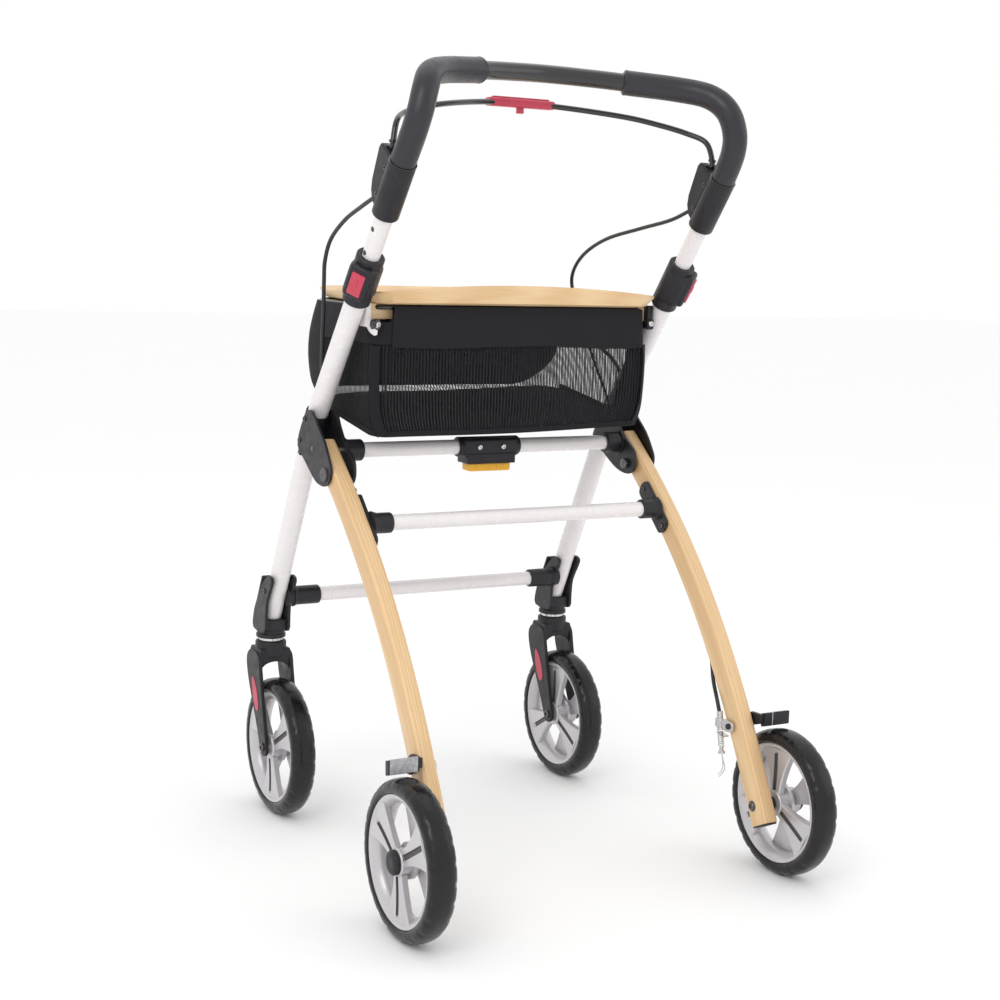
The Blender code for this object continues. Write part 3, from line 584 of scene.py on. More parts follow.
# --------------------------------------------------------------- rear legs
for tag, s in SIDES.items():
    heights = [0.0690 + 0.0121 * i for i in range(36)] + [0.5035]
    line = [leg_point(z, s) for z in heights]
    add(f"wooden_leg_{tag}", sweep(line, oblong(0.022, 0.030, 0.006, 8), ease=0.0012), OAK, f"rear_leg_{tag}")
    down = (line[0] - line[1]).normalized()
    foot = sweep([line[0] - down * 0.0003, line[0] + down * 0.0018], oblong(0.0205, 0.0285, 0.0055, 6),
                 ease=0.0005)
    add(f"leg_end_cap_{tag}", foot, CHARCOAL, body="legs")

    low, high = leg_point(0.4030), leg_point(0.4450)
    along = (high - low).normalized()
    wide = Vector((0, along.z, -along.y)) * 0.0122
    ends = []
    for k in range(12):
        a = math.pi * k / 11
        ends.append(high + along * (0.0075 * math.sin(a)) + wide * math.cos(a))
    for k in range(12):
        a = math.pi * k / 11
        ends.append(low - along * (0.0075 * math.sin(a)) - wide * math.cos(a))
    parts = [slab([(p.y, p.z) for p in ends], s * 0.2045, s * 0.2084),
             turned(((0, 0.0118), (0.0010, 0.0125), (0.0265, 0.0125)), (s * 0.1785, *MID_BAR), (s, 0, 0)),
             turned(((0, 0.0125), (0.0080, 0.0150)), (s * 0.1965, *MID_BAR), (s, 0, 0))]
    add(f"mid_plate_{tag}", join(*parts), CHARCOAL, f"mid_bracket_{tag}", bevel=0.0007)
    heads = [screw(Vector((s * 0.2045, p.y, p.z)), (-s, 0, 0), 0.0034) for p in (low, high)]
    heads.append(screw((s * 0.2090, REAR_Y, WHEEL_R), (-s, 0, 0), 0.0052, 0.0030))
    heads.append(screw((s * 0.2090, *BRAKE_PIVOT), (-s, 0, 0), 0.0046, 0.0030))
    add(f"leg_screws_{tag}", join(*heads), DARK_STEEL, body="legs")
    rings = []
    for y, z, r in ((REAR_Y, WHEEL_R, 0.0066), (*BRAKE_PIVOT, 0.0058)):
        rings.append(turned(((0.0, r), (0.0006, r), (0.0010, r - 0.0006), (0.0010, r - 0.002)),
                            (s * 0.2089, y, z), (-s, 0, 0), 28))
    add(f"leg_washers_{tag}", join(*rings), GROOVE, body="legs")


# ------------------------------------------------------------------ wheels
def tyre_profile(step):
    """A rounded tread with shallow blocks cut along its two shoulders."""
    cut = 0.0006 if step % 8 in (0, 1) else 0.0
    half = [(0.0146, 0.0741), (0.0158, 0.0752), (0.01625, 0.0780), (0.0160, 0.0815),
            (0.0150 - cut, 0.0845 - cut), (0.0128 - cut, 0.0868 - cut), (0.0100, 0.0886),
            (0.0065, 0.0896), (0.0035, 0.0900)]
    return [(-x, r) for x, r in half] + [(x, r) for x, r in reversed(half)]


RING = [(-0.0146, 0.0712), (-0.0150, 0.0722), (-0.0146, 0.0736), (0.0146, 0.0736), (0.0150, 0.0722),
        (0.0146, 0.0712), (0.0135, 0.0690), (0.0080, 0.0645), (0.0040, 0.0622), (-0.0040, 0.0622),
        (-0.0080, 0.0645), (-0.0135, 0.0690)]


def spoke(face, angle):
    """One spoke, narrow at the hub and flaring into the rim, with a long slot in its face whose dark finish is
    painted shade.
    """
    rings, steps = [], 18
    for i in range(steps + 1):
        t = i / steps
        r = 0.0125 + 0.0555 * t
        half = 0.0092 + 0.0060 * t + 0.0150 * t ** 2.0
        outer = 0.0150 - 0.0008 * math.sin(math.pi * t) - 0.0010 * t
        inner = outer - 0.0085
        slot = 0.0022 if 0.04 < t < 0.93 else 0.0
        notch = 0.0032
        section = [(-half, inner), (-half, outer - 0.0016), (-half + 0.0016, outer), (-notch, outer),
                   (-notch, outer - slot), (notch, outer - slot), (notch, outer), (half - 0.0016, outer),
                   (half, outer - 0.0016), (half, inner)]
        ring = []
        for across, deep in section:
            ring.append((face * deep, r * math.cos(angle) - across * math.sin(angle),
                         r * math.sin(angle) + across * math.cos(angle)))
        rings.append(ring)
    bm = loft(rings)
    bm.faces.ensure_lookup_table()
    for i in range(steps):
        # The slot's floor and walls take the dark GROOVE finish: painted shade in the slot.
        if 0.04 < i / steps < 0.88:
            for k in (3, 4, 5):
                bm.faces[i * 10 + k].material_index = 1
    return bm


def wheel(kind, tag, side, center):
    """A tyre on a silver rim whose two faces carry three spokes each, half a step apart."""
    add(f"{kind}_tread_{tag}", spin(tyre_profile, center, 192), TYRE, f"{kind}_tyre_{tag}", angle=60)
    spokes = [spoke(side, math.radians(a)) for a in (149, 29, -91)]
    spokes += [spoke(-side, math.radians(a)) for a in (89, -31, 209)]
    star = join(*spokes)
    bmesh.ops.translate(star, vec=center, verts=star.verts)
    hub = ((-0.0165, 0.0130), (-0.0165, 0.0150), (-0.0150, 0.0162), (-0.0120, 0.0150), (0.0120, 0.0150),
           (0.0150, 0.0162), (0.0165, 0.0150), (0.0165, 0.0130))
    bm = join(spin(RING, center, 96), star, turned(hub, center, (1, 0, 0), 40),
              turned(((-0.0020, 0.0205), (0.0020, 0.0205)), center, (1, 0, 0), 40))
    add(f"{kind}_rim_star_{tag}", bm, SILVER, f"{kind}_rim_{tag}", bevel=0.0004, more=(GROOVE,))


for tag, s in SIDES.items():
    wheel("rear", tag, s, (s * REAR_X, REAR_Y, WHEEL_R))
    wheel("front", tag, s, (s * FRONT_X, FRONT_Y, WHEEL_R))
    axle = ((-0.0478, 0.0020), (-0.0478, 0.0040), (-0.0248, 0.0040), (-0.0248, 0.0080), (-0.0172, 0.0080),
            (-0.0172, 0.0040), (0.0172, 0.0040), (0.0172, 0.0140),
            (0.0205, 0.0140), (0.0222, 0.0128), (0.0232, 0.0110), (0.0236, 0.0070), (0.0233, 0.0030))
    add(f"hub_cap_{tag}", turned(axle, (s * REAR_X, REAR_Y, WHEEL_R), (s, 0, 0), 40), CHARCOAL,
        f"rear_axle_{tag}")
    add(f"axle_screw_{tag}", screw((s * (REAR_X - 0.0476), REAR_Y, WHEEL_R), (-s, 0, 0), 0.0046), STEEL,
        body=BODY[f"rear_axle_{tag}"])

# ----------------------------------------------------------- caster forks
BLADE = ((0.2540, 0.2085), (0.2720, 0.2130), (0.2880, 0.2100), (0.2955, 0.1960), (0.2870, 0.1680),
         (0.2600, 0.1200), (0.2450, 0.0900), (0.2400, 0.0815), (0.2330, 0.0780), (0.2255, 0.0810),
         (0.2225, 0.0890), (0.2290, 0.1160), (0.2380, 0.1480), (0.2470, 0.1850))
for tag, s in SIDES.items():
    parts = [slab(curved(BLADE, 4), s * (FRONT_X + k * 0.0195), s * (FRONT_X + k * 0.0245)) for k in (1, -1)]
    arch = []
    for k in range(13):
        a = math.pi * k / 12
        arch.append((0.0195 * math.cos(a), 0.1850 + 0.0140 * math.sin(a) ** 0.8))
    top = [(-0.0238, 0.1850), (-0.0238, 0.2060), (-0.0205, 0.2165), (0.0205, 0.2165), (0.0238, 0.2060),
           (0.0238, 0.1850)]
    bridge = slab([(s * FRONT_X + x, z) for x, z in arch + top], 0.2530, 0.2890, "Y")
    crown = ((0.2050, 0.0200), (0.2235, 0.0206), (0.2250, 0.0200), (0.2262, 0.0184), (0.2262, 0.0050))
    parts += [bridge, turned(crown, (s * FRONT_X, SWIVEL_Y, 0), (0, 0, 1), 40)]
    add(f"fork_{tag}", join(*parts), CHARCOAL, f"caster_fork_{tag}", bevel=0.0013)
    leaves, bolts = [], []
    for k in (1, -1):
        face = s * (FRONT_X + k * 0.02451)
        out = Vector((s * k, 0, 0))
        leaf = []
        for j in range(24):
            a = 2 * math.pi * j / 24
            along, across = 0.0235 * math.cos(a), 0.0078 * math.sin(a) * (1 - 0.2 * math.cos(a))
            leaf.append((0.2625 + along * 0.38 + across * 0.925, 0.1560 + along * 0.925 - across * 0.38))
        leaves.append(slab(leaf, face - s * k * 0.0005, face + s * k * 0.0006))
        bolts.append(screw((face, FRONT_Y, WHEEL_R), out, 0.0056, 0.0030))
    add(f"fork_leaves_{tag}", join(*leaves), RED, body=BODY[f"caster_fork_{tag}"], bevel=0.0003)
    add(f"fork_bolts_{tag}", join(*bolts), DARK_STEEL, body=BODY[f"caster_fork_{tag}"])
    washer = turned(((0, 0.0160), (0.0030, 0.0160)), (s * FRONT_X, SWIVEL_Y, 0.2266), (0, 0, 1), 40)
    add(f"swivel_washer_{tag}", washer, STEEL, body=BODY[f"caster_fork_{tag}"])
    axle = [(x, 0.0040) for x in (-0.0250, 0.0250)]
    add(f"front_axle_{tag}", turned(axle, (s * FRONT_X, FRONT_Y, WHEEL_R), (1, 0, 0), 20), STEEL,
        body=BODY[f"caster_fork_{tag}"])

# -------------------------------------------------------- caster brackets
CHEEK = ((0.2270, 0.3110), (0.2340, 0.3180), (0.2430, 0.3170), (0.2580, 0.3060), (0.2790, 0.2790),
         (0.2890, 0.2600), (0.2890, 0.2400), (0.2510, 0.2400), (0.2470, 0.2600), (0.2440, 0.2820))
for tag, s in SIDES.items():
    parts = [slab(curved(CHEEK, 3), s * (TUBE_X + k * 0.0140), s * (TUBE_X + k * 0.0180)) for k in (1, -1)]
    front = tube_point(0.2800, s) + LOW_AHEAD * 0.0165
    cup = ((0.2300, 0.0180), (0.2306, 0.0196), (0.2350, 0.0196), (0.2365, 0.0182), (0.2470, 0.0178))
    parts += [block(front, (0.0350, 0.0050, 0.0600), LOW_TILT, 0.0015),
              turned(cup, (s * FRONT_X, SWIVEL_Y, 0), (0, 0, 1), 40),
              block((s * TUBE_X, 0.2700, 0.2480), (0.0350, 0.0370, 0.0160), 0, 0.0030),
              turned(((0, 0.0118), (0.0010, 0.0125), (0.0460, 0.0125)), (s * 0.1616, *LOW_BAR), (s, 0, 0)),
              turned(((0, 0.0125), (0.0060, 0.0146)), (s * 0.1930, *LOW_BAR), (s, 0, 0))]
    add(f"caster_shoe_{tag}", join(*parts), CHARCOAL, f"caster_bracket_{tag}", bevel=0.0008)
    at = tube_point(0.2960, s)
    heads = [screw((s * (TUBE_X + k * 0.0180), at.y, at.z), (s * k, 0, 0), 0.0036) for k in (1, -1)]
    add(f"caster_shoe_screws_{tag}", join(*heads), DARK_STEEL, body="frame")

# ----------------------------------------------------------- height clamps
for tag, s in SIDES.items():
    length = (tube_point(0.7400) - tube_point(0.6870)).length
    profile = ((0.0, 0.0134), (0.0, 0.0160), (0.0012, 0.0170), (length - 0.0012, 0.0170), (length, 0.0158),
               (length, 0.0118), (length - 0.004, 0.0114))
    house = facing(0.7160, s, 0.0090, (0.0284, 0.0290, 0.0450), 0.0050, 4)
    ring = facing(0.7135, s, 0.0020, (0.0340, 0.0350, 0.0500), 0.0090, 5)
    add(f"clamp_{tag}", join(turned(profile, tube_point(0.6870, s), UP, 40), house, ring), CHARCOAL,
        f"height_clamp_{tag}")
    face = facing(0.7160, s, 0.0227, (0.0052, 0.0168, 0.0304), 0.0012)
    nub = facing(0.7185, s, 0.0255, (0.0012, 0.0030, 0.0100), 0.0004)
    add(f"button_{tag}", join(face, nub), RED, f"height_button_{tag}")

# ---------------------------------------------------- fold release housing
BAR_Y = LOCK[0]
sides = [block((0, BAR_Y + y, 0.4862), (0.0690, 0.0027, 0.0130), 0, 0.0010) for y in (-0.01315, 0.01315)]
ends = [block((x, BAR_Y, 0.4862), (0.0036, 0.0280, 0.0130), 0, 0.0010) for x in (-0.0327, 0.0327)]
profile = ((0, 0.0118), (0.0014, 0.0128), (0.0866, 0.0128), (0.0880, 0.0118))
collar = turned(profile, (-0.0440, *LOCK), (1, 0, 0))
cover = join(block((0, BAR_Y, 0.5000), (0.0780, 0.0270, 0.0245), 0, 0.0045, 4), *sides, *ends, collar)
add("release_cover", cover, CHARCOAL, "release_housing")
heads = [screw((x, BAR_Y - 0.0135, 0.5010), (0, -1, 0.05), 0.0034) for x in (-0.017, 0.017)]
add("release_cover_screws", join(*heads), STEEL, body="frame")
ribs = [block((x * 0.01, BAR_Y - 0.0108, 0.4750), (0.0016, 0.0016, 0.0080), 0, 0.0005) for x in range(-2, 3)]
pull = join(block((0, BAR_Y, 0.4752), (0.0600, 0.0220, 0.0114), 0, 0.0030, 4), *ribs)
add("release_pull_tab", pull, YELLOW, "release_handle")
for tag in SIDES:
    frame["nodes"][f"lock_pin_{tag}"].data.materials.clear()
    frame["nodes"][f"lock_pin_{tag}"].data.materials.append(STEEL)

# ------------------------------------------------------------- push handle
HALF = [tube_point(0.816), tube_point(0.832), tube_point(0.846), (0.2160, -0.1180, 0.8760),
        (0.2115, -0.1250, 0.9010), (0.2030, -0.1190, 0.9260), (0.1880, -0.1010, 0.9425),
        (0.1580, -0.0770, 0.9500), (0.1150, -0.0545, 0.9545), (0.0700, -0.0380, 0.9580),
        (0.0000, -0.0270, 0.9603)]
LOOP = HALF + [(-x, y, z) for x, y, z in reversed(HALF[:-1])]
LOOP_LINE = smooth_path(LOOP, 10)
add("handle_tube", sweep(LOOP_LINE, circle(0.0108, 28)), GLOSS, "handle_bar")
for tag, s in SIDES.items():
    held = [p for p in LOOP_LINE if p.x * s > 0.096 and p.z > 0.8420]
    sizes = [1.0] * len(held)
    inner_end = -1 if held[0].z < held[-1].z else 0
    sizes[inner_end] = 1.03
    add(f"foam_grip_{tag}", sweep(held, circle(0.0150, 40), ease=0.0022, sizes=sizes), FOAM, f"grip_{tag}")

    start = tube_point(0.7865, s)
    length = (tube_point(0.8440) - tube_point(0.7865)).length
    profile = ((0.0, 0.0118), (0.0, 0.0152), (0.0014, 0.0160), (length * 0.5, 0.0162),
               (length - 0.0010, 0.0163),
               (length, 0.0150), (length, 0.0120))
    add(f"sleeve_{tag}", turned(profile, start, UP, 44), CHARCOAL, f"handle_sleeve_{tag}")
    seam = ((length - 0.0004, 0.0150), (length - 0.0002, 0.0166), (length + 0.0010, 0.0166),
            (length + 0.0012, 0.0150))
    add(f"sleeve_seam_{tag}", turned(seam, start, UP, 44), GLOSS, body="handle")

    outline = ((0.0110, -0.0330), (0.0190, -0.0320), (0.0290, -0.0240), (0.0345, -0.0130), (0.0385, 0.0060),
               (0.0425, 0.0270), (0.0410, 0.0320), (0.0360, 0.0330), (0.0110, 0.0330))
    middle = tube_point(0.8160, s)
    rings = []
    for x, grow in ((-0.0115, 0.92), (-0.0100, 1.0), (0.0100, 1.0), (0.0115, 0.92)):
        rings.append([middle + AHEAD * (0.026 + (a - 0.026) * grow) + UP * u * (0.5 + grow / 2)
                      + Vector((s * x, 0, 0)) for a, u in outline])
    add(f"brake_case_{tag}", loft(rings), CHARCOAL, f"brake_box_{tag}", bevel=0.0012)
    heads = []
    for u in (-0.0190, 0.0170):
        for side in (-1, 1):
            spot = middle + AHEAD * 0.0145 + UP * u + Vector((side * 0.0113, 0, 0))
            heads.append(screw(spot, (side, 0, 0), 0.0030, 0.0010))
    add(f"brake_case_screws_{tag}", join(*heads), GLOSS, body="handle")

# --------------------------------------------------------------- brake bar
BRAKE_HINGE = (-0.0619, 0.8440)
HALF = [(0.2184, *BRAKE_HINGE), (0.2184, -0.0703, 0.8552), (0.2184, -0.0720, 0.8680),
        (0.2120, -0.0660, 0.8900), (0.1950, -0.0470, 0.9010), (0.1650, -0.0300, 0.9100),
        (0.1250, -0.0130, 0.9180), (0.0600, 0.0180, 0.9260), (0.0000, 0.0308, 0.9288)]
LOOP = HALF + [(-x, y, z) for x, y, z in reversed(HALF[:-1])]
add("brake_wire_bar", sweep(smooth_path(LOOP, 8), circle(0.0035, 20)), GLOSS, "brake_bar")
rings = []
for tag, s in SIDES.items():
    low, high = Vector((s * 0.2184, -0.0707, 0.8592)), Vector((s * 0.2184, -0.0719, 0.8667))
    axis = high - low
    rings.append(turned(((0.0, 0.0034), (0.0, 0.0052), (0.0012, 0.0060), (0.0038, 0.0060), (0.0050, 0.0050),
                         (0.0050, 0.0034)), low, axis, 24))
    rings.append(turned(((0.0, 0.0034), (0.0, 0.0050), (0.0030, 0.0050), (0.0030, 0.0034)), high, axis, 24))
    for k in range(5):
        a = 2 * math.pi * k / 5 + 0.4
        spot = low + axis * 0.35 + Vector((0.0062 * math.cos(a), 0.0062 * math.sin(a), 0))
        rings.append(turned(((-0.0018, 0.0008), (-0.0010, 0.0019), (0.0010, 0.0019), (0.0018, 0.0008)), spot,
                            (math.cos(a), math.sin(a), 0), 12))
add("brake_bar_collars", join(*rings), GLOSS, body=BODY["brake_bar"])
clip = join(block((0, 0.0290, 0.9282), (0.0940, 0.0160, 0.0105), 0, 0.0040, 4),
            block((0, 0.0285, 0.9343), (0.0780, 0.0070, 0.0018), 0, 0.0008),
            block((0, 0.0290, 0.9200), (0.0075, 0.0075, 0.0080), 0, 0.0010))
add("red_clip", clip, RED, "brake_bar_clip")

# ----------------------------------------------------------- parking brake
SHOE = ((-0.2137, 0.1819), (-0.2060, 0.1797), (-0.2050, 0.1965), (-0.2137, 0.1985))
ARM = ((-0.1770, 0.1710), (-0.1770, 0.1840), (-0.1900, 0.1955), (-0.2115, 0.1965), (-0.2115, 0.1850),
       (-0.1930, 0.1790), (-0.1890, 0.1710))
LEVER = ((-0.1890, 0.1710), (-0.1580, 0.1710), (-0.1560, 0.1770), (-0.1580, 0.1830), (-0.1890, 0.1840))
for tag, s in SIDES.items():
    arm = BODY[f"brake_arm_{tag}"]
    parts = [slab(ARM, s * 0.2316, s * 0.2370), slab(SHOE, s * 0.2365, s * 0.2480),
             slab(SHOE, s * 0.2492, s * 0.2745),
             turned(((0, 0.0038), (0.0310, 0.0038)), (s * 0.2020, *BRAKE_PIVOT), (s, 0, 0), 20)]
    add(f"brake_shoe_{tag}", join(*parts), CHARCOAL, f"brake_arm_{tag}", bevel=0.0009)
    seam = slab([(y * 0.999 - 0.0003, z) for y, z in SHOE], s * 0.2481, s * 0.2491)
    lever = slab(curved(LEVER, 3), s * 0.2040, s * 0.2064)
    add(f"brake_metal_{tag}", join(seam, lever), STEEL, body=arm, bevel=0.0004)
    # Only the left shoe gets this grey face plate: a painted sheen on the shoe's face, while the right shoe stays
    # black.
    if s < 0:
        plate = join(block((-0.2560, -0.2141, 0.1912), (0.0340, 0.0016, 0.0174), 0, 0.0006))
        add("brake_shoe_sheen_plate", plate, SHOE_SHEEN_GREY, body=arm)

    steel, wires = [], []
    top = Vector((s * 0.2050, -0.1630, 0.1925))
    way = Vector((0, -0.16, -1)).normalized()
    steel.append(turned(((0, 0.0030), (0.0005, 0.0040), (0.0090, 0.0040), (0.0095, 0.0052), (0.0115, 0.0052),
                         (0.0120, 0.0032), (0.0200, 0.0030), (0.0205, 0.0046), (0.0235, 0.0046), (0.0240, 0.0020)),
                        top, way, 24))
    steel.append(block((s * 0.2065, -0.1690, 0.1640), (0.0100, 0.0140, 0.0014), 0.2, 0.0004))
    steel.append(turned(((0, 0.0026), (0.0060, 0.0026), (0.0062, 0.0044), (0.0092, 0.0044), (0.0094, 0.0024)),
                        top + way * 0.0440, way, 20))
    steel.append(screw(top + way * 0.0500 + Vector((s * 0.002, 0.003, 0)), (-s, -0.3, 0), 0.0030))
    coil = []
    for k in range(121):
        a = 2 * math.pi * 8 * k / 120
        p = top + way * (0.0240 + 0.0200 * k / 120)
        coil.append(p + Vector((0.0036 * math.cos(a), 0.0036 * math.sin(a), 0)))
    wires.append(sweep(coil, circle(0.00065, 8), (0, 0, 1), ease=0))
    start = top + way * 0.0530
    for k in (0.0, 1.0):
        tail = [start, start + Vector((0.001 * k, -0.003, -0.010)),
                start + Vector((-0.002 + 0.004 * k, -0.005, -0.019)),
                start + Vector((-0.006 + 0.002 * k, -0.003, -0.026 - 0.003 * k))]
        wires.append(sweep(smooth_path(tail, 6), circle(0.0006, 8), ease=0))
    add(f"cable_fitting_{tag}", join(*steel, *wires), STEEL, body="legs")

# ------------------------------------------------------------------ cables
UPPER = {
    "L": [(-0.2184, -0.0330, 0.8085), (-0.2190, 0.0100, 0.7950), (-0.2200, 0.0515, 0.7800),
          (-0.2205, 0.0900, 0.7575), (-0.2210, 0.1060, 0.7314), (-0.2210, 0.1080, 0.7074),
          (-0.2210, 0.1080, 0.6800), (-0.2200, 0.1120, 0.6400), (-0.2185, 0.1160, 0.6100)],
    "R": [(0.2184, -0.0330, 0.8085), (0.2165, 0.0100, 0.7950), (0.2120, 0.0750, 0.7830),
          (0.2070, 0.1450, 0.7690), (0.2065, 0.2000, 0.7480), (0.2085, 0.2320, 0.7220),
          (0.2130, 0.2380, 0.6950), (0.2175, 0.2150, 0.6550), (0.2190, 0.1720, 0.6230),
          (0.2185, 0.1360, 0.6070)],
}
HELD = {"L": (-0.2210, 0.1080, 0.7074), "R": (0.2085, 0.1500, 0.7000)}
for tag, s in SIDES.items():
    line = UPPER[tag] + [beside(0.578, 0.0190, s * TUBE_X), beside(0.562, 0.0185, s * TUBE_X)]
    hose = sweep(smooth_path(line, 8), circle(0.0025, 14))
    add(f"brake_hose_{tag}", hose, SHEATH, f"brake_cable_{tag}", across=(UPPER[tag][0], HELD[tag]))
    line = [leg_point(z, s, 0.0185) for z in (0.4600, 0.4200, 0.3700, 0.3200, 0.2700)]
    line += [(s * 0.2120, -0.1370, 0.2250), (s * 0.2050, -0.1560, 0.2060), (s * 0.2050, -0.1630, 0.1900)]
    add(f"leg_hose_{tag}", sweep(smooth_path(line, 8), circle(0.0025, 14)), SHEATH, f"leg_cable_{tag}")


# ------------------------------------------------------------------ basket
NEAR_R, FAR_R = 0.016, 0.034
RIM_Z, HEM_Z, FLOOR_Z = 0.6795, 0.6350, 0.5262
FLOOR_MIDDLE = 0.1315


def outline_at(share):
    """Half width, near side and far side of the plan; share is 0 at the floor seam and 1 at the wire."""
    bulge = 0.0022 * math.sin(math.pi * share)
    tuck = max(0.0, 1 - share / 0.24) ** 2
    near, far = 0.0200 - 0.6 * bulge + 0.0030 * tuck, 0.2560 + bulge - 0.0160 * tuck
    return 0.1920 + bulge - 0.0050 * tuck, near, far


def plan_runs(share):
    """The straight runs and quarter turns of the plan, from the middle of the user's side to the right."""
    half, low, high = outline_at(share)
    side = high - low - NEAR_R
    slack = 0.056 + 0.024 * (2 * min(1.0, share) - 1) ** 2
    turn = math.pi / 2
    return ((half - NEAR_R, (0.0, low), (1, 0), 0),
            (turn * NEAR_R, (half - NEAR_R, low + NEAR_R), -turn, NEAR_R),
            (side - FAR_R, (half, low + NEAR_R), (0, 1), 0),
            (turn * FAR_R, (half - FAR_R, high - FAR_R), 0.0, FAR_R),
            (2 * half - FAR_R - slack, (half - FAR_R, high), (-1, 0), 0),
            (turn * slack, (slack - half, high - slack), turn, slack),
            (side - slack, (-half, high - slack), (0, -1), 0),
            (turn * NEAR_R, (NEAR_R - half, low + NEAR_R), 2 * turn, NEAR_R),
            (half - NEAR_R, (NEAR_R - half, low), (1, 0), 0))


ALL = sum(run[0] for run in plan_runs(0.5))


def plan_point(distance, share):
    """A point of the plan and its outward direction."""
    runs = plan_runs(share)
    left = (distance % ALL) * sum(run[0] for run in runs) / ALL
    for k, (length, corner, way, radius) in enumerate(runs):
        if left <= length or k == len(runs) - 1:
            if not radius:
                return (corner[0] + way[0] * left, corner[1] + way[1] * left), (way[1], -way[0])
            a = way + left / radius
            out = (math.cos(a), math.sin(a))
            return (corner[0] + radius * out[0], corner[1] + radius * out[1]), out
        left -= length


def floor_level(x, y):
    """The floor is low beside the user, higher at the front, and a little lower on the left."""
    return FLOOR_Z + 0.0336 * (y - 0.0230) / 0.2170 + 0.0036 * x / 0.19


def seam_height(distance):
    (x, y), _ = plan_point(distance, 0.0)
    return floor_level(x, y) - 0.0012 * math.cos(x * 16)


def share_of(distance, z):
    seam = seam_height(distance)
    return (z - seam) / (RIM_Z - seam)


def wall_point(distance, share, lift):
    (x, y), (nx, ny) = plan_point(distance, share)
    ripple = 0.0010 * math.sin(distance * 31 + share * 3) * math.sin(math.pi * min(1.0, share))
    ripple += 0.0007 * math.sin(distance * 74 + 1.3) * share * (1 - share) * 4
    seam = seam_height(distance)
    out = lift + ripple
    return Vector((x + nx * out, y + ny * out, seam + (RIM_Z - seam) * share)), Vector((nx, ny, 0))


def patch(name, finish, start, end, low, high, lift=0.0, steps=90, rows=14, span=None):
    """A sheet of the basket wall; low and high give its edges' heights, or None for the floor seam."""
    bm = bmesh.new()
    layer = bm.verts.layers.float_vector.new("weave")
    grid = []
    for i in range(steps + 1):
        t = i / steps
        column = []
        for j in range(rows + 1):
            u = j / rows
            first, last = span(u) if span else (start, end)
            distance = first + (last - first) * t
            bottom = share_of(distance, low(t)) if low else 0.0
            share = bottom + (share_of(distance, high(t)) - bottom) * u
            p, _ = wall_point(distance, share, lift)
            v = bm.verts.new(p)
            v[layer] = (distance, p.z, 0)
            column.append(v)
        grid.append(column)
    for a, b in zip(grid, grid[1:]):
        for j in range(rows):
            bm.faces.new((a[j], b[j], b[j + 1], a[j + 1]))
    return add(name, bm, finish, body=BODY["basket"], angle=180)


def far_edge(t):
    """The solid far panel ends just above the floor and sweeps up at its right corner."""
    near_corner = t / 0.19
    rise = 0.0 if near_corner >= 1 else 1 - math.sqrt(max(0.0, 1 - (1 - near_corner) ** 2))
    return 0.5657 + 0.0675 * rise


def hem_top(t):
    """The hem dips beside the user's left, where the tray's locating block shows."""
    past = (ALL / 2 + ALL * t) % ALL - (ALL - 0.1880)
    return RIM_Z - 0.0180 * max(0.0, min(1.0, 3.0 - abs(past) / 0.0060))


HALF_WAY = ALL / 2
net = patch("basket_net_walls", NET, HALF_WAY, HALF_WAY + ALL, None, lambda t: HEM_Z + 0.002, steps=260)
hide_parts("basket")
hem = patch("basket_hem", CLOTH, HALF_WAY, HALF_WAY + ALL, lambda t: HEM_Z, hem_top, 0.0012, 260, 8)
flap = patch("basket_flap", CLOTH, -0.1725, 0.1850, lambda t: HEM_Z - 0.0035 - 0.0015 * math.sin(9 * t),
             lambda t: RIM_Z + 0.0012, 0.0026, 90, 8)
far = patch("basket_far_panel", CLOTH, 0.404, 0.838, far_edge, lambda t: HEM_Z, -0.0012)
left = patch("basket_left_panel", CLOTH, 0.782, 0.864, None, lambda t: HEM_Z, 0.0010, 40)
gusset = patch("basket_gusset", CLOTH, 0, 0, None, lambda t: HEM_Z, 0.0010, 20, 14,
               lambda u: (0.196, 0.268 - 0.036 * u))

bm = bmesh.new()
layer = bm.verts.layers.float_vector.new("weave")
rows = []
for j in range(15):
    t = 1 - j / 14
    row = []
    for i in range(160):
        distance = ALL * i / 160
        (edge_x, edge_y), _ = plan_point(distance, 0.0)
        x, y = edge_x * t, FLOOR_MIDDLE + (edge_y - FLOOR_MIDDLE) * t
        z = floor_level(x, y) + (seam_height(distance) - floor_level(edge_x, edge_y)) * t
        v = bm.verts.new((x, y, z - 0.0012 * (1 - t * t) * (1 + 0.5 * math.sin(x * 30 + y * 12))))
        v[layer] = (x, y, 0)
        row.append(v)
    rows.append(row)
for v in rows.pop():
    bm.verts.remove(v)
for a, b in zip(rows, rows[1:]):
    for i in range(160):
        bm.faces.new((a[i], a[(i + 1) % 160], b[(i + 1) % 160], b[i]))
bm.faces.new(rows[-1])
floor_sheet = add("basket_floor", bm, CLOTH, body=BODY["basket"], angle=180)


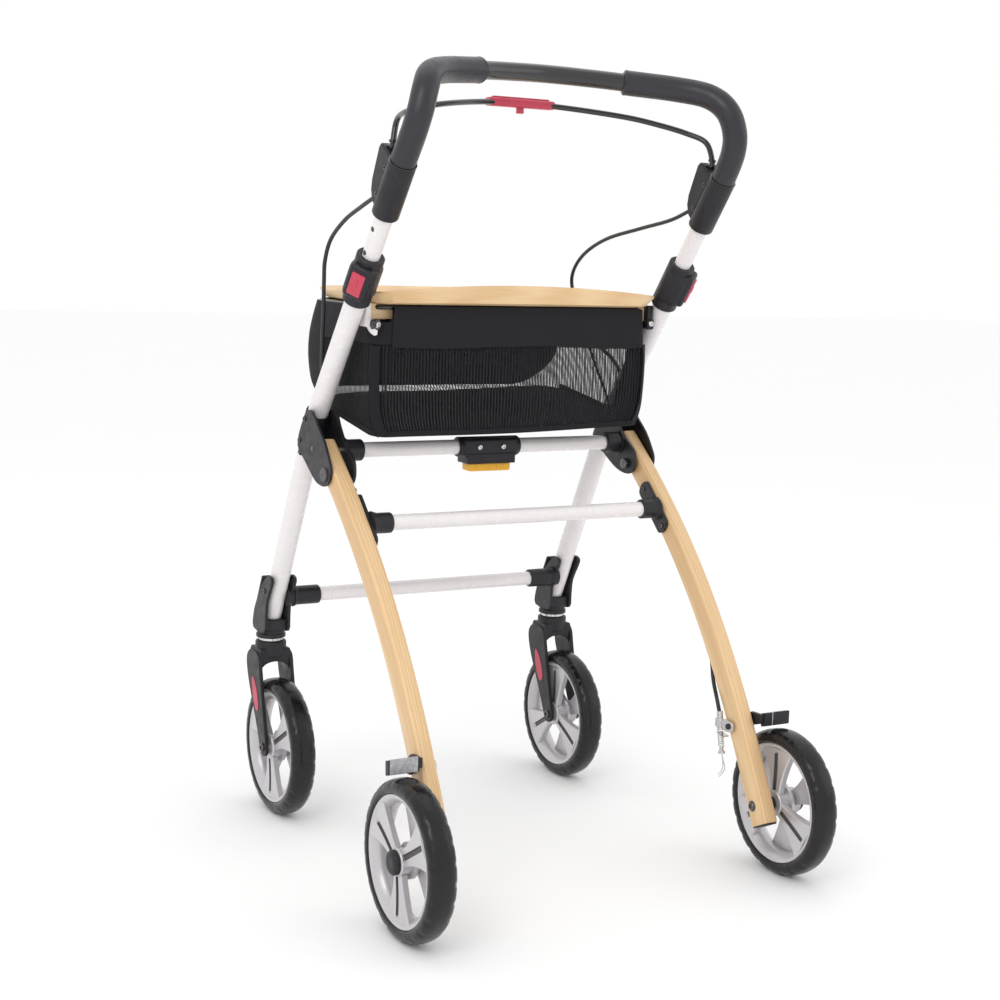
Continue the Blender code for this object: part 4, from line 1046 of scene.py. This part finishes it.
def tape(stops, width=0.0060, thick=0.0011, lift=0.0022, count=30):
    """A flat sewn tape over the wall through (distance, share) stops."""
    found, gone = [], 0.0
    for (d0, s0), (d1, s1) in zip(stops, stops[1:]):
        for k in range(count):
            t = k / (count - 1)
            p, out = wall_point(d0 + (d1 - d0) * t, s0 + (s1 - s0) * t, lift)
            step = (p - found[-1][0]).length if found else 1.0
            if step > 1e-4:
                gone += step if found else 0.0
                found.append((p, out, gone))
    bm = bmesh.new()
    layer = bm.verts.layers.float_vector.new("weave")
    rows = []
    for k, (p, out, gone) in enumerate(found):
        t = (found[min(k + 1, len(found) - 1)][0] - found[max(k - 1, 0)][0]).normalized()
        across = t.cross(out).normalized()
        row = []
        for a, c in oblong(thick, width, thick * 0.45, 4):
            v = bm.verts.new(p + out * a + across * c)
            v[layer] = (c, gone, 0)
            row.append(v)
        rows.append(row)
    for a, b in zip(rows, rows[1:]):
        for i in range(len(a)):
            j = (i + 1) % len(a)
            bm.faces.new((a[i], a[j], b[j], b[i]))
    bm.faces.new(rows[0])
    bm.faces.new(rows[-1])
    return bm


hem_share = 0.70
tapes = [tape(((d, 0.01), (d, hem_share)), w) for d, w in ((0.1906, 0.0110), (ALL - 0.1908, 0.0130))]
tapes.append(tape(((-0.4040, 0.018), (0.4040, 0.018)), 0.0070, count=220))
tapes.append(tape(((0.3430, 0.66), (0.2740, 0.06)), 0.0048))
for d in (0.1800, ALL - 0.1800):
    tapes.append(tape(((d, 0.02), (d, hem_share)), 0.0016, 0.0006, 0.0028))
add("basket_tapes", join(*tapes), WEB, body=BODY["basket"], angle=60)

ring = []
for k in range(120):
    (x, y), (nx, ny) = plan_point(ALL * k / 120, 1.0)
    ring.append(Vector((x - 0.0042 * nx, y - 0.0042 * ny, 0.6790)))
rows = []
for k, p in enumerate(ring):
    t = (ring[(k + 1) % len(ring)] - ring[k - 1]).normalized()
    out = t.cross(Vector((0, 0, 1)))
    rows.append([p + out * a + Vector((0, 0, 1)) * b for a, b in circle(0.0030, 14)])
add("basket_wire", loft(rows, closed=True), GLOSS, "basket_frame")

# ------------------------------------------------------------ basket hooks
strap = smooth_path([(-0.2010, 0.0350, 0.6860), (-0.2000, 0.0330, 0.6760), (-0.1985, 0.0280, 0.6640),
                     (-0.1970, 0.0200, 0.6545), (-0.1950, 0.0120, 0.6510)], 6)
plate = [block((-0.1996, 0.0330, 0.6700), (0.0070, 0.0200, 0.0290), 0, 0.0016),
         sweep(strap, oblong(0.0050, 0.0120, 0.0016, 4))]
add("hook_plate_L", join(*plate), WHITE, "basket_hook_L")
# Black blocks on the hook plate stand in for two slots: painted shade in the slots.
slots = [block((-0.1959, 0.0300, z), (0.0012, 0.0060, 0.0030), 0, 0.0004) for z in (0.6770, 0.6690)]
knob = turned(((0, 0.0050), (0.0010, 0.0070), (0.0060, 0.0070), (0.0075, 0.0058), (0.0075, 0.0030)),
              (-0.1960, 0.0180, 0.6590), (0.35, -0.93, 0), 32)
add("hook_knob_L", join(knob, *slots), GLOSS, body="frame")
add("hook_screw_L", screw((-0.1933, 0.0108, 0.6590), (0.35, -0.93, 0), 0.0034), STEEL, body="frame")
hook = join(block((0.1994, 0.0320, 0.6700), (0.0086, 0.0220, 0.0300), 0, 0.0020),
            block((0.1990, 0.0220, 0.6610), (0.0100, 0.0070, 0.0130), 0, 0.0020))
add("hook_plate_R", hook, CHARCOAL, "basket_hook_R")
add("hook_screw_R", screw((0.1990, 0.0186, 0.6620), (0, -1, 0), 0.0036), STEEL, body="frame")

# -------------------------------------------------------------------- tray
EDGE = [(0.1700, -0.0020), (0.1880, 0.0015), (0.1970, 0.0130), (0.2000, 0.0500), (0.1980, 0.1000),
        (0.1940, 0.1500), (0.1850, 0.2000), (0.1640, 0.2500), (0.1290, 0.2930), (0.0680, 0.3290),
        (0.0000, 0.3420)]
EDGE += [(-x, y) for x, y in reversed(EDGE[:-1])]
EDGE += [(x, -0.0020) for x in (-0.1300, -0.0850, -0.0400, 0.0400, 0.0850, 0.1300)]
SOFT_EDGE = curved(EDGE, 6)


def rim_top(x, y):
    back = 0.6985 + 0.0095 * (1 - (x / 0.19) ** 2)
    front = 0.6985 - 0.0035 * max(0.0, y) / 0.34
    blend = min(1.0, max(0.0, (y + 0.0021) / 0.012))
    return back * (1 - blend) + front * blend


def tray_ring(inset, base, share):
    return [(x * (1 - inset / 0.20), 0.170 + (y - 0.170) * (1 - inset / 0.172),
             base + share * (rim_top(x, y) - base)) for x, y in SOFT_EDGE]


tray = loft([tray_ring(0.0150, 0.6828, 0), tray_ring(0.0080, 0.6830, 0.10), tray_ring(0.0, 0.6828, 0.82),
             tray_ring(0.0003, 0.6828, 0.96), tray_ring(0.0012, 0.6828, 1), tray_ring(0.0032, 0.6828, 1),
             tray_ring(0.0046, 0.6828, 0.95), tray_ring(0.0120, 0.6866, 0.30),
             tray_ring(0.0160, 0.6868, 0.06), tray_ring(0.0190, 0.6868, 0)])
under = [block((side * 0.1800, 0.0345, 0.6738), (0.0300, 0.0100, 0.0190), 0, 0.0010) for side in (-1, 1)]
add("ply_tray", join(tray, *under), PLY, "tray")

# ------------------------------------------------------------ floor, light
bm = bmesh.new()
bmesh.ops.create_grid(bm, x_segments=2, y_segments=2, size=14.0)
mesh = bpy.data.meshes.new("floor")
bm.to_mesh(mesh)
bm.free()
floor = bpy.data.objects.new("floor", mesh)
bpy.context.scene.collection.objects.link(floor)
pale = Nodes("pale_floor")
patches = pale.noise(pale.place(), 3.0, 2.0)
pale.link(pale.mix(patches, (0.965, 0.965, 0.965, 1), (0.98, 0.98, 0.98, 1)), "Base Color")
pale.shader.inputs["Roughness"].default_value = 0.85
mesh.materials.append(pale.material)

world = bpy.data.worlds.new("studio")
world.use_nodes = True
world.node_tree.nodes["Background"].inputs["Color"].default_value = (1.0, 1.0, 1.0, 1)
world.node_tree.nodes["Background"].inputs["Strength"].default_value = 1.0
bpy.context.scene.world = world
bpy.context.scene.view_settings.view_transform = "Standard"


def softbox(name, position, target, size, power):
    data = bpy.data.lights.new(name, "AREA")
    data.shape = "RECTANGLE"
    data.size, data.size_y = size
    data.energy = power
    lamp = bpy.data.objects.new(name, data)
    bpy.context.scene.collection.objects.link(lamp)
    lamp.location = position
    lamp.rotation_euler = (Vector(target) - Vector(position)).to_track_quat("-Z", "Y").to_euler()


softbox("key", (-1.9, -1.5, 2.3), (0, 0, 0.5), (1.3, 1.3), 15)
softbox("fill", (2.2, -1.6, 1.6), (0, 0, 0.5), (1.6, 1.6), 4)
softbox("top", (0.2, 0.6, 2.9), (0, 0, 0.4), (2.0, 2.0), 5)
